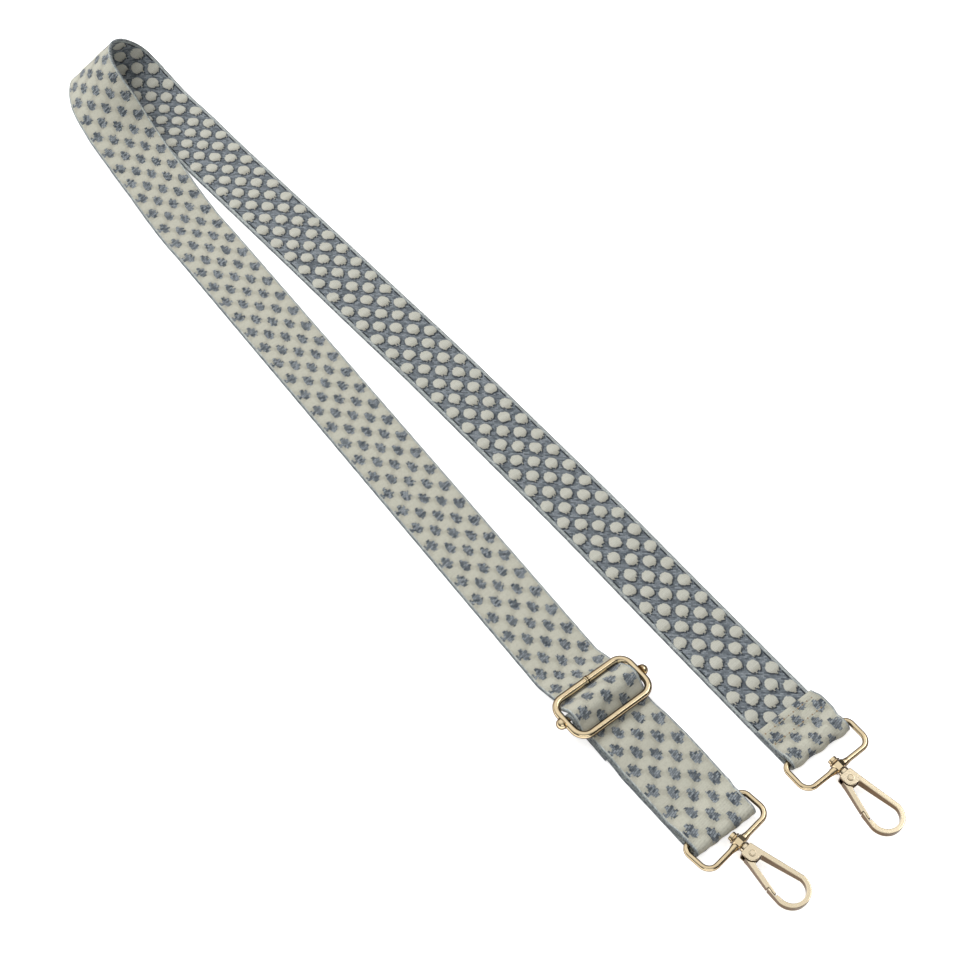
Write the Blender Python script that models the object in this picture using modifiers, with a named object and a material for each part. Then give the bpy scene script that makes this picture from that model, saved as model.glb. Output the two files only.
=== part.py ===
"""Detachable bag strap: patterned webbing with a sliding adjuster and two swivel snap hooks.

The strap lies on a table, doubled into a long loop. +Y runs from the hooks to the far bend,
+X to the right, +Z up. Metres. The origin is under the middle of the whole strap.
"""

import math

import bmesh
import bpy
from mathutils import Matrix, Vector

# Clearances
TOUCH_GAP = 0.0003
PIN_GAP = 0.0003

# Webbing
WEBBING_WIDTH = 0.038
WEBBING_THICKNESS = 0.002
WEBBING_EASE_RADIUS = 0.006
STRAND_GAP = 0.0302
STRAND_LENGTH = 0.531
STRAND_LEAN_DEG = 2.95

# Webbing ends
FLAP_RISE = 0.010
FLAP_SEWN_LENGTH = 0.012
LOOP_RISE = 0.0145
FOLD_SLACK_A = 0.0043
FOLD_SLACK_B = 0.0013
FOLD_YAW_A_DEG = -2.0
FOLD_YAW_B_DEG = -3.2
FOLD_FLAT_LENGTH = 0.0025
TAB_LENGTH = 0.0125
TAB_EASE_LENGTH = 0.0015
TAB_DROP_LENGTH = 0.0115
PASS_FLAT_LENGTH = 0.0035
PASS_RISE_LENGTH = 0.0155
PASS_TAIL_LENGTH = 0.004

# Thread
THREAD_RADIUS = 0.00025
STITCH_LENGTH = 0.0032
STITCH_RISE = 0.00015
STITCH_ROW_PITCH = 0.007
STITCH_END_MARGIN = 0.0035
STITCH_SIDE_MARGIN = 0.0025

# Slider
SLIDER_DISTANCE = 0.0820
SLIDER_LIFT = 0.0015
SLIDER_WIRE = 0.0039
SLIDER_PLAY = 0.0029
SLIDER_HEIGHT = 0.0274
SLIDER_CORNER = 0.0066
SLIDER_SEAM = 0.0004
BAR_DIAMETER = 0.0028
BAR_NECK_DIAMETER = 0.0015
BAR_HEAD_DIAMETER = 0.005
BAR_HEAD_FLAT = 0.0004

# Swivel ring
RING_WIRE = 0.003
RING_PLAY = 0.0015
RING_REACH = 0.0168
RING_FOLD_CORNER = 0.004
RING_BOSS_CORNER = 0.0056
RING_ALONG_A = 0.002
RING_ALONG_B = 0.0
RING_YAW_A_DEG = 6.0
RING_YAW_B_DEG = -0.6
BOSS_DIAMETER = 0.0076
BOSS_LENGTH = 0.0044
BOSS_FLARE_LENGTH = 0.0032

# Swivel pin
PIN_DIAMETER = 0.003
PIN_COLLAR_DIAMETER = 0.0061
PIN_COLLAR_HEIGHT = 0.0008
PIN_HEAD_DIAMETER = 0.0043
PIN_HEAD_HEIGHT = 0.0013
PIN_TAIL = 0.0019

# Hook body
NECK_DIAMETER = 0.0055
NECK_LENGTH = 0.0016
HEAD_THICKNESS = 0.006
BOW_THICKNESS = 0.0036
ARM_SHOULDER = 0.0026
ARM_WIDTH = 0.0027
BOW_OFFSET = 0.00095
BOW_DROP = 0.0326
BOW_OUTER_RADIUS = 0.0095
BOW_WIDTH = 0.00245
CHEEK_RADIUS = 0.0039
CHEEK_CORNER = 0.0012
HOOK_EDGE_ROUND = 0.0004
PIVOT_OFFSET = 0.0009
PIVOT_DROP = 0.0082

# Gate, its rivet and its spring
GATE_LEAN_DEG = 14.0
GATE_INSET = 0.00175
GATE_WIDTH = 0.0025
GATE_KNUCKLE_RADIUS = 0.0027
GATE_KNUCKLE_THICKNESS = 0.0028
GATE_KNUCKLE_LENGTH = 0.006
GATE_THICKNESS = 0.0044
GATE_TIP_THICKNESS = 0.0034
GATE_EDGE_ROUND = 0.0003
GATE_REACH = 0.0175
TONGUE_LENGTH = 0.0044
TONGUE_GAP = 0.0006
LIP_WIDTH = 0.0011
RIVET_DIAMETER = 0.002
RIVET_HEAD_DIAMETER = 0.0034
RIVET_HEAD_HEIGHT = 0.0005
SPRING_WIRE = 0.00036
SPRING_RADIUS = 0.0016
SPRING_PITCH = 0.0008
SPRING_TURNS = 1.5
SPRING_POCKET_DEPTH = 0.0018

# Fineness of the shapes
ROW_STEP = 0.022
BEND_ROW_STEP = 0.006
WELD_DISTANCE = 0.000001
CUT_OVERRUN = 0.001
ACROSS_STEPS = 4
ARC_STEP_DEG = 20.0
TURN_STEPS = 20
SEAT_FACETS = 11
SMOOTH_ANGLE_DEG = 40
SHARP_ANGLE_DEG = 60

# The right strand's sideways drift as a share of the webbing's width, and where along it as a
# share of its length.
RIGHT_DRIFT_SHARES = (
    (0.000, 0.06), (0.012, 0.20), (0.028, 0.32), (0.016, 0.43), (-0.004, 0.56),
    (-0.052, 0.67), (-0.092, 0.77), (-0.137, 0.87), (-0.168, 0.94), (-0.180, 1.00),
)

# The far bend from where the right strand ends: across as a share of the way to the left
# strand, along and up as shares of the webbing's width, then the lift of the webbing's outer
# edge and its turn in plan, in degrees.
BEND_SHARES = (
    (0.03, 0.53, 0.015, 1.0, 4.0),
    (0.05, 0.88, 0.050, 5.0, 6.0),
    (0.09, 1.22, 0.130, 14.5, 5.0),
    (0.18, 1.52, 0.275, 32.0, -3.0),
    (0.36, 1.67, 0.480, 43.0, -22.0),
    (0.59, 1.55, 0.650, 44.5, -27.5),
    (0.77, 1.26, 0.680, 42.0, -25.5),
    (0.85, 0.93, 0.605, 32.0, -21.0),
    (0.86, 0.62, 0.465, 20.0, -13.0),
    (0.87, 0.30, 0.315, 10.0, -7.0),
    (0.88, -0.03, 0.210, 4.6, -5.0),
    (0.90, -0.37, 0.145, 3.0, -4.5),
    (0.92, -0.73, 0.105, 2.3, -4.5),
    (0.96, -1.26, 0.045, 1.0, -4.0),
    (0.99, -1.79, 0.000, 0.0, -3.5),
)
BEND_RETURN_SHARE = 2.16

# Worked out from the sizes above
HALF_PLY = WEBBING_THICKNESS / 2
PLY_STEP = WEBBING_THICKNESS + TOUCH_GAP
SECOND_PLY = HALF_PLY + PLY_STEP
THIRD_PLY = SECOND_PLY + PLY_STEP
RIGHT_LANE = (WEBBING_WIDTH + STRAND_GAP) / 2
LEFT_LANE = -RIGHT_LANE
FOLD_PLY_END = LOOP_RISE + FOLD_FLAT_LENGTH
RING_SIDE = WEBBING_WIDTH / 2 + RING_PLAY + RING_WIRE / 2
FOLD_RADIUS = RING_WIRE / 2 + TOUCH_GAP + HALF_PLY
HOOK_HEIGHT = HALF_PLY + FOLD_RADIUS
WIRE_PASS_RADIUS = SLIDER_WIRE / 2 + TOUCH_GAP + HALF_PLY
SLIDER_PLANE = THIRD_PLY + WIRE_PASS_RADIUS + SLIDER_LIFT
SLIDER_SIDE = WEBBING_WIDTH / 2 + SLIDER_PLAY + SLIDER_WIRE / 2
SLIDER_REACH = (SLIDER_HEIGHT - SLIDER_WIRE) / 2
BAR_WRAP_RADIUS = BAR_DIAMETER / 2 + TOUCH_GAP + HALF_PLY
PASS_HEAD = SLIDER_REACH + PASS_RISE_LENGTH + PASS_FLAT_LENGTH
PASS_TAIL = SLIDER_REACH + PASS_TAIL_LENGTH
LEAN_START = (SLIDER_REACH + PASS_HEAD) / 2
TAB_END = SLIDER_REACH + TAB_LENGTH
RETURN_END = TAB_END + TAB_EASE_LENGTH / 2
DROP_START = TAB_END + TAB_EASE_LENGTH
DROP_END = DROP_START + TAB_DROP_LENGTH
PASS_END = THIRD_PLY + SLIDER_LIFT * (RETURN_END - PASS_TAIL) / (RETURN_END - SLIDER_REACH)
NECK_TOP = -BOSS_LENGTH / 2 - TOUCH_GAP
HEAD_TOP = NECK_TOP - NECK_LENGTH
PIVOT = Vector((-PIVOT_OFFSET, -PIVOT_DROP))
BOW_CENTRE = Vector((-BOW_OFFSET, -BOW_DROP))
BOW_INNER_RADIUS = BOW_OUTER_RADIUS - BOW_WIDTH
GATE_OUTSET = GATE_INSET + GATE_WIDTH
TONGUE_OUTSET = GATE_OUTSET - LIP_WIDTH - TOUCH_GAP
SLOT_THICKNESS = GATE_KNUCKLE_THICKNESS + 2 * TOUCH_GAP
SLOT_RADIUS = GATE_KNUCKLE_RADIUS + TOUCH_GAP


def clear_scene():
    for old in list(bpy.data.objects):
        bpy.data.objects.remove(old, do_unlink=True)


def make_collection(name):
    collection = bpy.data.collections.new(name)
    bpy.context.scene.collection.children.link(collection)
    return collection


def make_material(name, colour, roughness, metallic):
    material = bpy.data.materials.new(name)
    material.use_nodes = True
    shader = material.node_tree.nodes["Principled BSDF"]
    shader.inputs["Base Color"].default_value = (*colour, 1.0)
    shader.inputs["Roughness"].default_value = roughness
    shader.inputs["Metallic"].default_value = metallic
    material.diffuse_color = (*colour, 1.0)
    return material


def add_object(name, mesh, material, parent, collection):
    made = bpy.data.objects.new(name, mesh)
    collection.objects.link(made)
    made.parent = parent
    mesh.materials.clear()
    mesh.materials.append(material)
    mesh.shade_smooth()
    mesh.set_sharp_from_angle(angle=math.radians(SMOOTH_ANGLE_DEG))
    return made


def add_empty(name, parent, collection, location=(0, 0, 0), yaw_deg=0.0):
    empty = bpy.data.objects.new(name, None)
    collection.objects.link(empty)
    empty.parent = parent
    empty.location = location
    empty.rotation_euler = (0, 0, math.radians(yaw_deg))
    return empty


def curve_to_mesh(curve, collection):
    """The mesh of a curve, its caps welded to its sides."""
    source = bpy.data.objects.new(curve.name, curve)
    collection.objects.link(source)
    bpy.context.view_layer.update()
    evaluated = source.evaluated_get(bpy.context.evaluated_depsgraph_get())
    mesh = bpy.data.meshes.new_from_object(evaluated)
    mesh.name = curve.name
    bpy.data.objects.remove(source)
    shape = bmesh.new()
    shape.from_mesh(mesh)
    bmesh.ops.remove_doubles(shape, verts=shape.verts, dist=WELD_DISTANCE)
    bmesh.ops.recalc_face_normals(shape, faces=shape.faces)
    shape.to_mesh(mesh)
    shape.free()
    return mesh


def tube_mesh(name, points, radius, collection, closed=False, resolution=3, shares=None):
    """A tube along the points. shares are the radius at each point as a share of radius."""
    curve = bpy.data.curves.new(name, "CURVE")
    curve.dimensions = "3D"
    curve.bevel_depth = radius
    curve.bevel_resolution = resolution
    curve.use_fill_caps = True
    spline = curve.splines.new("POLY")
    spline.points.add(len(points) - 1)
    for spot, place, share in zip(spline.points, points, shares or [1] * len(points)):
        spot.co = (*place, 1)
        spot.radius = share
    spline.use_cyclic_u = closed
    return curve_to_mesh(curve, collection)


def plate_mesh(name, outline, thickness, collection):
    """A flat outline in X and Y with a thickness centred on Z."""
    curve = bpy.data.curves.new(name, "CURVE")
    curve.dimensions = "2D"
    curve.fill_mode = "BOTH"
    curve.extrude = thickness / 2
    spline = curve.splines.new("POLY")
    spline.points.add(len(outline) - 1)
    for spot, place in zip(spline.points, outline):
        spot.co = (place[0], place[1], 0, 1)
    spline.use_cyclic_u = True
    return curve_to_mesh(curve, collection)


def round_edges(mesh, width):
    shape = bmesh.new()
    shape.from_mesh(mesh)
    sharp = math.radians(SHARP_ANGLE_DEG)
    edges = [edge for edge in shape.edges if edge.calc_face_angle(0) > sharp]
    bmesh.ops.bevel(shape, geom=edges, offset=width, segments=2, affect="EDGES", profile=0.5)
    shape.to_mesh(mesh)
    shape.free()


def rod_mesh(name, radius, low, high, axis, centre=(0, 0)):
    """A cylinder along an axis from low to high. centre is its place in the other two axes."""
    shape = bmesh.new()
    bmesh.ops.create_cone(
        shape, cap_ends=True, segments=TURN_STEPS, radius1=radius, radius2=radius, depth=high - low
    )
    middle = (high + low) / 2
    if axis == "X":
        bmesh.ops.rotate(shape, verts=shape.verts, matrix=Matrix.Rotation(math.pi / 2, 3, "Y"))
        place = (middle, *centre)
    elif axis == "Y":
        bmesh.ops.rotate(shape, verts=shape.verts, matrix=Matrix.Rotation(math.pi / 2, 3, "X"))
        place = (centre[0], middle, centre[1])
    else:
        place = (*centre, middle)
    bmesh.ops.translate(shape, verts=shape.verts, vec=place)
    mesh = bpy.data.meshes.new(name)
    shape.to_mesh(mesh)
    shape.free()
    return mesh


def turned_object(name, profile, material, parent, collection):
    """A solid of revolution about its own Z, from a profile of radius and height, top down."""
    mesh = bpy.data.meshes.new(name)
    points = [(radius, 0, height) for radius, height in profile]
    mesh.from_pydata(points, [(i, i + 1) for i in range(len(points) - 1)], [])
    made = add_object(name, mesh, material, parent, collection)
    screw = made.modifiers.new("turn", "SCREW")
    screw.steps = TURN_STEPS
    screw.render_steps = TURN_STEPS
    screw.use_merge_vertices = True
    screw.merge_threshold = WELD_DISTANCE
    screw.use_smooth_shade = True
    return made


def dome_profile(radius, rim, crown, steps=4):
    """From the crown on the axis out to the rim, both heights."""
    points = []
    for i in range(steps + 1):
        angle = math.pi / 2 * i / steps
        points.append((radius * math.sin(angle), rim + (crown - rim) * math.cos(angle)))
    return points


def combine(made, other, operation, helpers):
    """Joins another mesh to an object, or cuts it away. The other stays as a hidden helper."""
    helper = bpy.data.objects.new(other.name, other)
    helpers.objects.link(helper)
    helper.parent = made.parent
    helper.location = made.location
    helper.hide_render = True
    helper.display_type = "WIRE"
    step = made.modifiers.new(other.name, "BOOLEAN")
    step.operation = operation
    step.object = helper
    step.solver = "EXACT"


def arc(centre, radius, start_deg, end_deg, steps):
    points = []
    for i in range(steps + 1):
        angle = math.radians(start_deg + (end_deg - start_deg) * i / steps)
        points.append(Vector(centre) + radius * Vector((math.cos(angle), math.sin(angle))))
    return points


def taut_path(supports):
    """The line of a band drawn tight round circles, as points of along and height.

    Each support is (along, height, radius, turn). turn is 1 where the band turns left round
    the circle and -1 where it turns right, seen with along to the right. An end has no radius.
    """
    headings = []
    for first, second in zip(supports, supports[1:]):
        way = Vector(second[:2]) - Vector(first[:2])
        shift = second[3] * second[2] - first[3] * first[2]
        headings.append(math.atan2(way.y, way.x) - math.asin(shift / way.length))
    points = [Vector(supports[0][:2])]
    for support, arriving, leaving in zip(supports[1:], headings, headings[1:]):
        along, height, radius, turn = support
        swept = turn * (leaving - arriving) % math.tau
        if math.tau - swept < math.radians(1):
            swept = 0
        steps = math.ceil(math.degrees(swept) / ARC_STEP_DEG)
        for i in range(steps + 1):
            heading = arriving + turn * swept * i / max(steps, 1)
            out = Vector((math.sin(heading), -math.cos(heading)))
            points.append(Vector((along, height)) + turn * radius * out)
    points.append(Vector(supports[-1][:2]))
    return points


def smooth_stations(stations, step_of):
    """Stations read from a smooth curve through the ones given."""
    found = []
    last = len(stations) - 1
    for i in range(last):
        four = [stations[min(max(i + k, 0), last)] for k in (-1, 0, 1, 2)]
        span = math.dist(four[1][:3], four[2][:3])
        count = max(1, round(span / step_of(four[1], four[2])))
        for k in range(count):
            t = k / count
            weights = (
                (2 * t * t - t - t * t * t) / 2,
                (2 - 5 * t * t + 3 * t * t * t) / 2,
                (t + 4 * t * t - 3 * t * t * t) / 2,
                (t * t * t - t * t) / 2,
            )
            found.append([sum(w * p for w, p in zip(weights, axis)) for axis in zip(*four)])
    found.append(list(stations[last]))
    return found


def row_of(station):
    """The middle of a row of webbing and its cross direction, from x, y, z, lift and turn.

    No edge of a row sinks into the table.
    """
    x, y, z, lift, turn = station
    lift, turn = math.radians(lift), math.radians(turn)
    z = max(z, HALF_PLY + WEBBING_WIDTH / 2 * abs(math.sin(lift)))
    level = Vector((math.cos(turn), math.sin(turn), 0))
    return Vector((x, y, z)), level * math.cos(lift) + Vector((0, 0, math.sin(lift)))


def level_rows(path, lane=0.0):
    return [(Vector((lane, y, z)), Vector((1, 0, 0))) for y, z in path]


def fold_rows(path, lane, yaw_deg):
    """Rows round a ring's bar, which turn with the bar as they near it."""
    rows = []
    for y, z in path:
        share = min(max(1 - y / FOLD_PLY_END, 0), 1)
        rows.append(row_of((lane, y, z, 0, yaw_deg * share)))
    return rows


def leaning_rows(path):
    """Rows through the slider, which ease over to the strand's line once past its frame."""
    length = PASS_HEAD - SLIDER_REACH
    rows = []
    for y, z in path:
        share = max((y - SLIDER_REACH) / length, 0)
        x = math.tan(math.radians(STRAND_LEAN_DEG)) * length * share**2 / 2
        rows.append(row_of((x, y, z, 0, -STRAND_LEAN_DEG * share)))
    return rows


def webbing_object(name, rows, material, parent, collection):
    """A strip of webbing: an open sheet through the rows, made solid."""
    shape = bmesh.new()
    grid = []
    for centre, across in rows:
        shares = [i / ACROSS_STEPS - 0.5 for i in range(ACROSS_STEPS + 1)]
        grid.append([shape.verts.new(centre + across * WEBBING_WIDTH * s) for s in shares])
    for low, high in zip(grid, grid[1:]):
        for i in range(ACROSS_STEPS):
            shape.faces.new((low[i], low[i + 1], high[i + 1], high[i]))
    mesh = bpy.data.meshes.new(name)
    shape.to_mesh(mesh)
    shape.free()
    made = add_object(name, mesh, material, parent, collection)
    solid = made.modifiers.new("thickness", "SOLIDIFY")
    solid.thickness = WEBBING_THICKNESS
    solid.offset = 0
    solid.use_even_offset = True
    return made


def stitch_row(name, along, level, material, parent, collection):
    """A row of thread across the webbing, one rise to each stitch."""
    half = WEBBING_WIDTH / 2 - STITCH_SIDE_MARGIN
    count = 2 * round(2 * half / STITCH_LENGTH)
    seat = level + HALF_PLY + TOUCH_GAP + THREAD_RADIUS
    points = []
    for i in range(count + 1):
        points.append((2 * half * i / count - half, along, seat + STITCH_RISE * (i % 2)))
    mesh = tube_mesh(name, points, THREAD_RADIUS, collection, resolution=1)
    return add_object(name, mesh, material, parent, collection)


def fold_path(ring_along, turn_deg, slack, rise, top_end, bottom_end):
    """The webbing round a ring's bar: upper ply, fold, lower ply.

    The bar may lie turned in the fold, so the upper ply clears its further end.
    """
    clear = ring_along + WEBBING_WIDTH / 2 * math.sin(math.radians(abs(turn_deg)))
    return taut_path(
        (
            (top_end, SECOND_PLY, 0, 1),
            (rise, SECOND_PLY + WEBBING_EASE_RADIUS, WEBBING_EASE_RADIUS, -1),
            (clear, HOOK_HEIGHT, FOLD_RADIUS, 1),
            (-slack, HOOK_HEIGHT, FOLD_RADIUS, 1),
            (bottom_end, HALF_PLY, 0, 1),
        )
    )


def lean_place(distance):
    """A place on the left strand's line, by its distance from where it starts to lean."""
    lean = math.radians(STRAND_LEAN_DEG)
    x = LEFT_LANE + math.sin(lean) * distance
    return x, SLIDER_DISTANCE + LEAN_START + math.cos(lean) * distance


def lean_distance(along):
    """How far along the left strand's line a height above the slider is."""
    return (along - LEAN_START) / math.cos(math.radians(STRAND_LEAN_DEG))


def run_end():
    """How far up the left strand's line the far bend has come down flat."""
    return lean_distance(STRAND_LENGTH - BEND_RETURN_SHARE * WEBBING_WIDTH - SLIDER_DISTANCE)


def split_rows(rows, index):
    """The rows up to one of them, and the rest from a touch gap past it."""
    start, after = rows[index][0], rows[index + 1][0]
    past = start.lerp(after, TOUCH_GAP / (after - start).length)
    return rows[: index + 1], [(past, rows[index][1])] + rows[index + 1 :]


def strap_rows():
    """The fixed webbing: flap and fold round the ring, right strand, far bend up and down."""
    flap_end = FLAP_RISE + FLAP_SEWN_LENGTH
    turn_deg = RING_YAW_B_DEG - FOLD_YAW_B_DEG
    path = fold_path(RING_ALONG_B, turn_deg, FOLD_SLACK_B, FLAP_RISE, flap_end, 0)
    rows = fold_rows(path, RIGHT_LANE, FOLD_YAW_B_DEG)
    stations = [(RIGHT_LANE, 0, HALF_PLY, 0, FOLD_YAW_B_DEG)]
    for drift, share in RIGHT_DRIFT_SHARES:
        x = RIGHT_LANE + drift * WEBBING_WIDTH
        stations.append((x, share * STRAND_LENGTH, HALF_PLY, 0, 0))
    bend_x = stations[-1][0]
    end_x, end_y = lean_place(run_end() + TOUCH_GAP)
    for across, along, up, lift, turn in BEND_SHARES:
        x = bend_x + across * (end_x - bend_x)
        y = STRAND_LENGTH + along * WEBBING_WIDTH
        stations.append((x, y, HALF_PLY + up * WEBBING_WIDTH, lift, turn))
    stations.append((end_x, end_y, HALF_PLY, 0, -STRAND_LEAN_DEG))

    def step_of(start, end):
        return BEND_ROW_STEP if abs(start[3]) + abs(end[3]) > 1 else ROW_STEP

    fold_end = len(rows) - 1
    rows += [row_of(station) for station in smooth_stations(stations, step_of)][1:]
    fold, rest = split_rows(rows, fold_end)
    strand_end = next(i for i, row in enumerate(rest) if row[0].y > STRAND_LENGTH - WELD_DISTANCE)
    strand, bend = split_rows(rest, strand_end)
    crest = max(range(len(bend)), key=lambda i: bend[i][0].z)
    rising, falling = split_rows(bend, crest)
    return fold, strand, rising, falling


def build_strap(webbing, thread, strap, parts):
    names = (
        "webbing_sewn_flap",
        "webbing_right_strand",
        "webbing_bend_rising",
        "webbing_bend_falling",
    )
    for name, rows in zip(names, strap_rows()):
        webbing_object(name, rows, webbing, strap, parts)
    seam = add_empty("flap_seam", strap, parts, (RIGHT_LANE, 0, 0))
    for i in range(2):
        along = FLAP_RISE + FLAP_SEWN_LENGTH - STITCH_END_MARGIN - i * STITCH_ROW_PITCH
        stitch_row(f"flap_stitch_row_{i + 1}", along, SECOND_PLY, thread, seam, parts)
    line = []
    for distance in (lean_distance(PASS_HEAD) + TOUCH_GAP, run_end()):
        x, y = lean_place(distance)
        line.append((x, y, HALF_PLY, 0, -STRAND_LEAN_DEG))
    rows = [row_of(station) for station in smooth_stations(line, lambda start, end: ROW_STEP)]
    webbing_object("webbing_upper_run", rows, webbing, strap, parts)


def build_slider_webbing(webbing, slider, parts):
    """The webbing that travels with the slider: over its bar, and the end sewn round it."""
    ease = WEBBING_EASE_RADIUS
    over = taut_path(
        (
            (PASS_HEAD, HALF_PLY, 0, 1),
            (SLIDER_REACH + PASS_RISE_LENGTH, HALF_PLY + ease, ease, -1),
            (SLIDER_REACH, SLIDER_PLANE, WIRE_PASS_RADIUS, -1),
            (0, SLIDER_PLANE, BAR_WRAP_RADIUS + PLY_STEP, 1),
            (-SLIDER_REACH, SLIDER_PLANE, WIRE_PASS_RADIUS, -1),
            (-PASS_TAIL, PASS_END, 0, 1),
        )
    )
    webbing_object("webbing_slider_pass", leaning_rows(over), webbing, slider, parts)
    sewn = taut_path(
        (
            (-RETURN_END, SECOND_PLY, 0, 1),
            (-SLIDER_REACH, SLIDER_PLANE, WIRE_PASS_RADIUS + PLY_STEP, 1),
            (0, SLIDER_PLANE, BAR_WRAP_RADIUS, -1),
            (-SLIDER_REACH, SLIDER_PLANE, WIRE_PASS_RADIUS + 2 * PLY_STEP, -1),
            (-TAB_END, HALF_PLY, 0, 1),
        )
    )
    webbing_object("webbing_sewn_end", level_rows(sewn), webbing, slider, parts)


def build_loop(webbing, strap, parts):
    """The two plies between the slider and the left ring, and the fold in that ring."""
    ease = WEBBING_EASE_RADIUS
    plies = (
        ("webbing_loop_front", PASS_TAIL, PASS_END, THIRD_PLY, SECOND_PLY),
        ("webbing_loop_back", RETURN_END, SECOND_PLY, SECOND_PLY, HALF_PLY),
    )
    for name, start, start_height, high, low in plies:
        path = taut_path(
            (
                (SLIDER_DISTANCE - start - TOUCH_GAP, start_height, 0, 1),
                (SLIDER_DISTANCE - DROP_START, high - ease, ease, 1),
                (SLIDER_DISTANCE - DROP_END, low + ease, ease, -1),
                (FOLD_PLY_END + TOUCH_GAP, low, 0, 1),
            )
        )
        webbing_object(name, level_rows(path, LEFT_LANE), webbing, strap, parts)
    turn_deg = RING_YAW_A_DEG - FOLD_YAW_A_DEG
    ends = (FOLD_PLY_END, FOLD_PLY_END)
    path = fold_path(RING_ALONG_A, turn_deg, FOLD_SLACK_A, LOOP_RISE, *ends)
    rows = fold_rows(path, LEFT_LANE, FOLD_YAW_A_DEG)
    webbing_object("webbing_ring_fold", rows, webbing, strap, parts)


def build_slider(gold, slider, parts, helpers):
    """A wire frame with its butt seam in the upper bar, and a loose bar with domed heads."""
    plane = add_empty("slider_plane", slider, parts, (0, 0, SLIDER_PLANE))
    side = SLIDER_SIDE - SLIDER_CORNER
    rise = SLIDER_REACH - SLIDER_CORNER
    corners = ((side, rise, 90), (side, -rise, 0), (-side, -rise, -90), (-side, rise, -180))
    points = [Vector((SLIDER_SEAM / 2, SLIDER_REACH))]
    for x, y, start in corners:
        points += arc((x, y), SLIDER_CORNER, start, start - 90, 5)
    points.append(Vector((-SLIDER_SEAM / 2, SLIDER_REACH)))
    mesh = tube_mesh("slider_frame", [(*p, 0) for p in points], SLIDER_WIRE / 2, parts)
    frame = add_object("slider_frame", mesh, gold, plane, parts)
    reach = SLIDER_SIDE + SLIDER_WIRE
    hole = rod_mesh("slider_bar_holes", BAR_NECK_DIAMETER / 2 + PIN_GAP, -reach, reach, "X")
    combine(frame, hole, "DIFFERENCE", helpers)

    seat = SLIDER_SIDE + SLIDER_WIRE / 2 + TOUCH_GAP
    rim = seat + BAR_HEAD_FLAT
    shoulder = SLIDER_SIDE - SLIDER_WIRE / 2 - TOUCH_GAP
    half = dome_profile(BAR_HEAD_DIAMETER / 2, rim, rim + BAR_HEAD_DIAMETER / 2)
    half.append((BAR_HEAD_DIAMETER / 2, seat))
    half.append((BAR_NECK_DIAMETER / 2, seat))
    half.append((BAR_NECK_DIAMETER / 2, shoulder))
    half.append((BAR_DIAMETER / 2, shoulder))
    profile = half + [(radius, -height) for radius, height in reversed(half)]
    bar = turned_object("slider_bar", profile, gold, plane, parts)
    bar.rotation_euler = (0, math.pi / 2, 0)


def ring_mesh(name, parts):
    """A rounded wire ring that swells into its boss. Its fold bar lies on the origin."""
    fold_side = RING_SIDE - RING_FOLD_CORNER
    boss_side = RING_SIDE - RING_BOSS_CORNER
    boss_y = RING_BOSS_CORNER - RING_REACH
    points = arc((fold_side, -RING_FOLD_CORNER), RING_FOLD_CORNER, 90, 0, 4)
    points += arc((boss_side, boss_y), RING_BOSS_CORNER, 0, -90, 5)
    shares = [1] * len(points)
    swell = BOSS_LENGTH / RING_WIRE
    edge = BOSS_DIAMETER / 2
    flare = (
        (edge + BOSS_FLARE_LENGTH, 1),
        (edge + BOSS_FLARE_LENGTH / 3, (2 + swell) / 3),
        (edge / 2, swell),
    )
    for x, share in flare + tuple((-x, share) for x, share in reversed(flare)):
        points.append(Vector((x, -RING_REACH)))
        shares.append(share)
    points += arc((-boss_side, boss_y), RING_BOSS_CORNER, -90, -180, 5)
    points += arc((-fold_side, -RING_FOLD_CORNER), RING_FOLD_CORNER, 180, 90, 4)
    shares += [1] * (len(points) - len(shares))
    path = [(*p, 0) for p in points]
    return tube_mesh(name, path, RING_WIRE / 2, parts, closed=True, shares=shares)


def build_ring(name, gold, seat, parts, helpers):
    ring = add_object(name, ring_mesh(name, parts), gold, seat, parts)
    low = -RING_REACH - BOSS_LENGTH / 2
    high = low + BOSS_LENGTH
    boss = rod_mesh(f"{name}_boss", BOSS_DIAMETER / 2, low, high, "Y")
    combine(ring, boss, "UNION", helpers)
    radius = PIN_DIAMETER / 2 + PIN_GAP
    bore = rod_mesh(f"{name}_bore", radius, low - CUT_OVERRUN, high + CUT_OVERRUN, "Y")
    combine(ring, bore, "DIFFERENCE", helpers)


def build_pin(name, gold, swivel, parts):
    """The riveted swivel pin, from its head inside the ring down into the hook's neck."""
    collar = BOSS_LENGTH / 2 + TOUCH_GAP
    head = collar + PIN_COLLAR_HEIGHT
    top = head + PIN_HEAD_HEIGHT
    profile = dome_profile(PIN_HEAD_DIAMETER / 2, head + PIN_HEAD_HEIGHT / 2, top)
    profile += [
        (PIN_HEAD_DIAMETER / 2, head),
        (PIN_COLLAR_DIAMETER / 2, head),
        (PIN_COLLAR_DIAMETER / 2, collar),
        (PIN_DIAMETER / 2, collar),
        (PIN_DIAMETER / 2, NECK_TOP - PIN_TAIL),
        (0, NECK_TOP - PIN_TAIL),
    ]
    pin = turned_object(name, profile, gold, swivel, parts)
    pin.rotation_euler = (-math.pi / 2, 0, 0)


def gate_place(outset, reach):
    """A place in the hook's plane, from the pivot: outwards from the gate and along it."""
    lean = math.radians(GATE_LEAN_DEG)
    along = Vector((-math.sin(lean), -math.cos(lean)))
    outwards = Vector((-math.cos(lean), math.sin(lean)))
    return outset * outwards + reach * along


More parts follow.
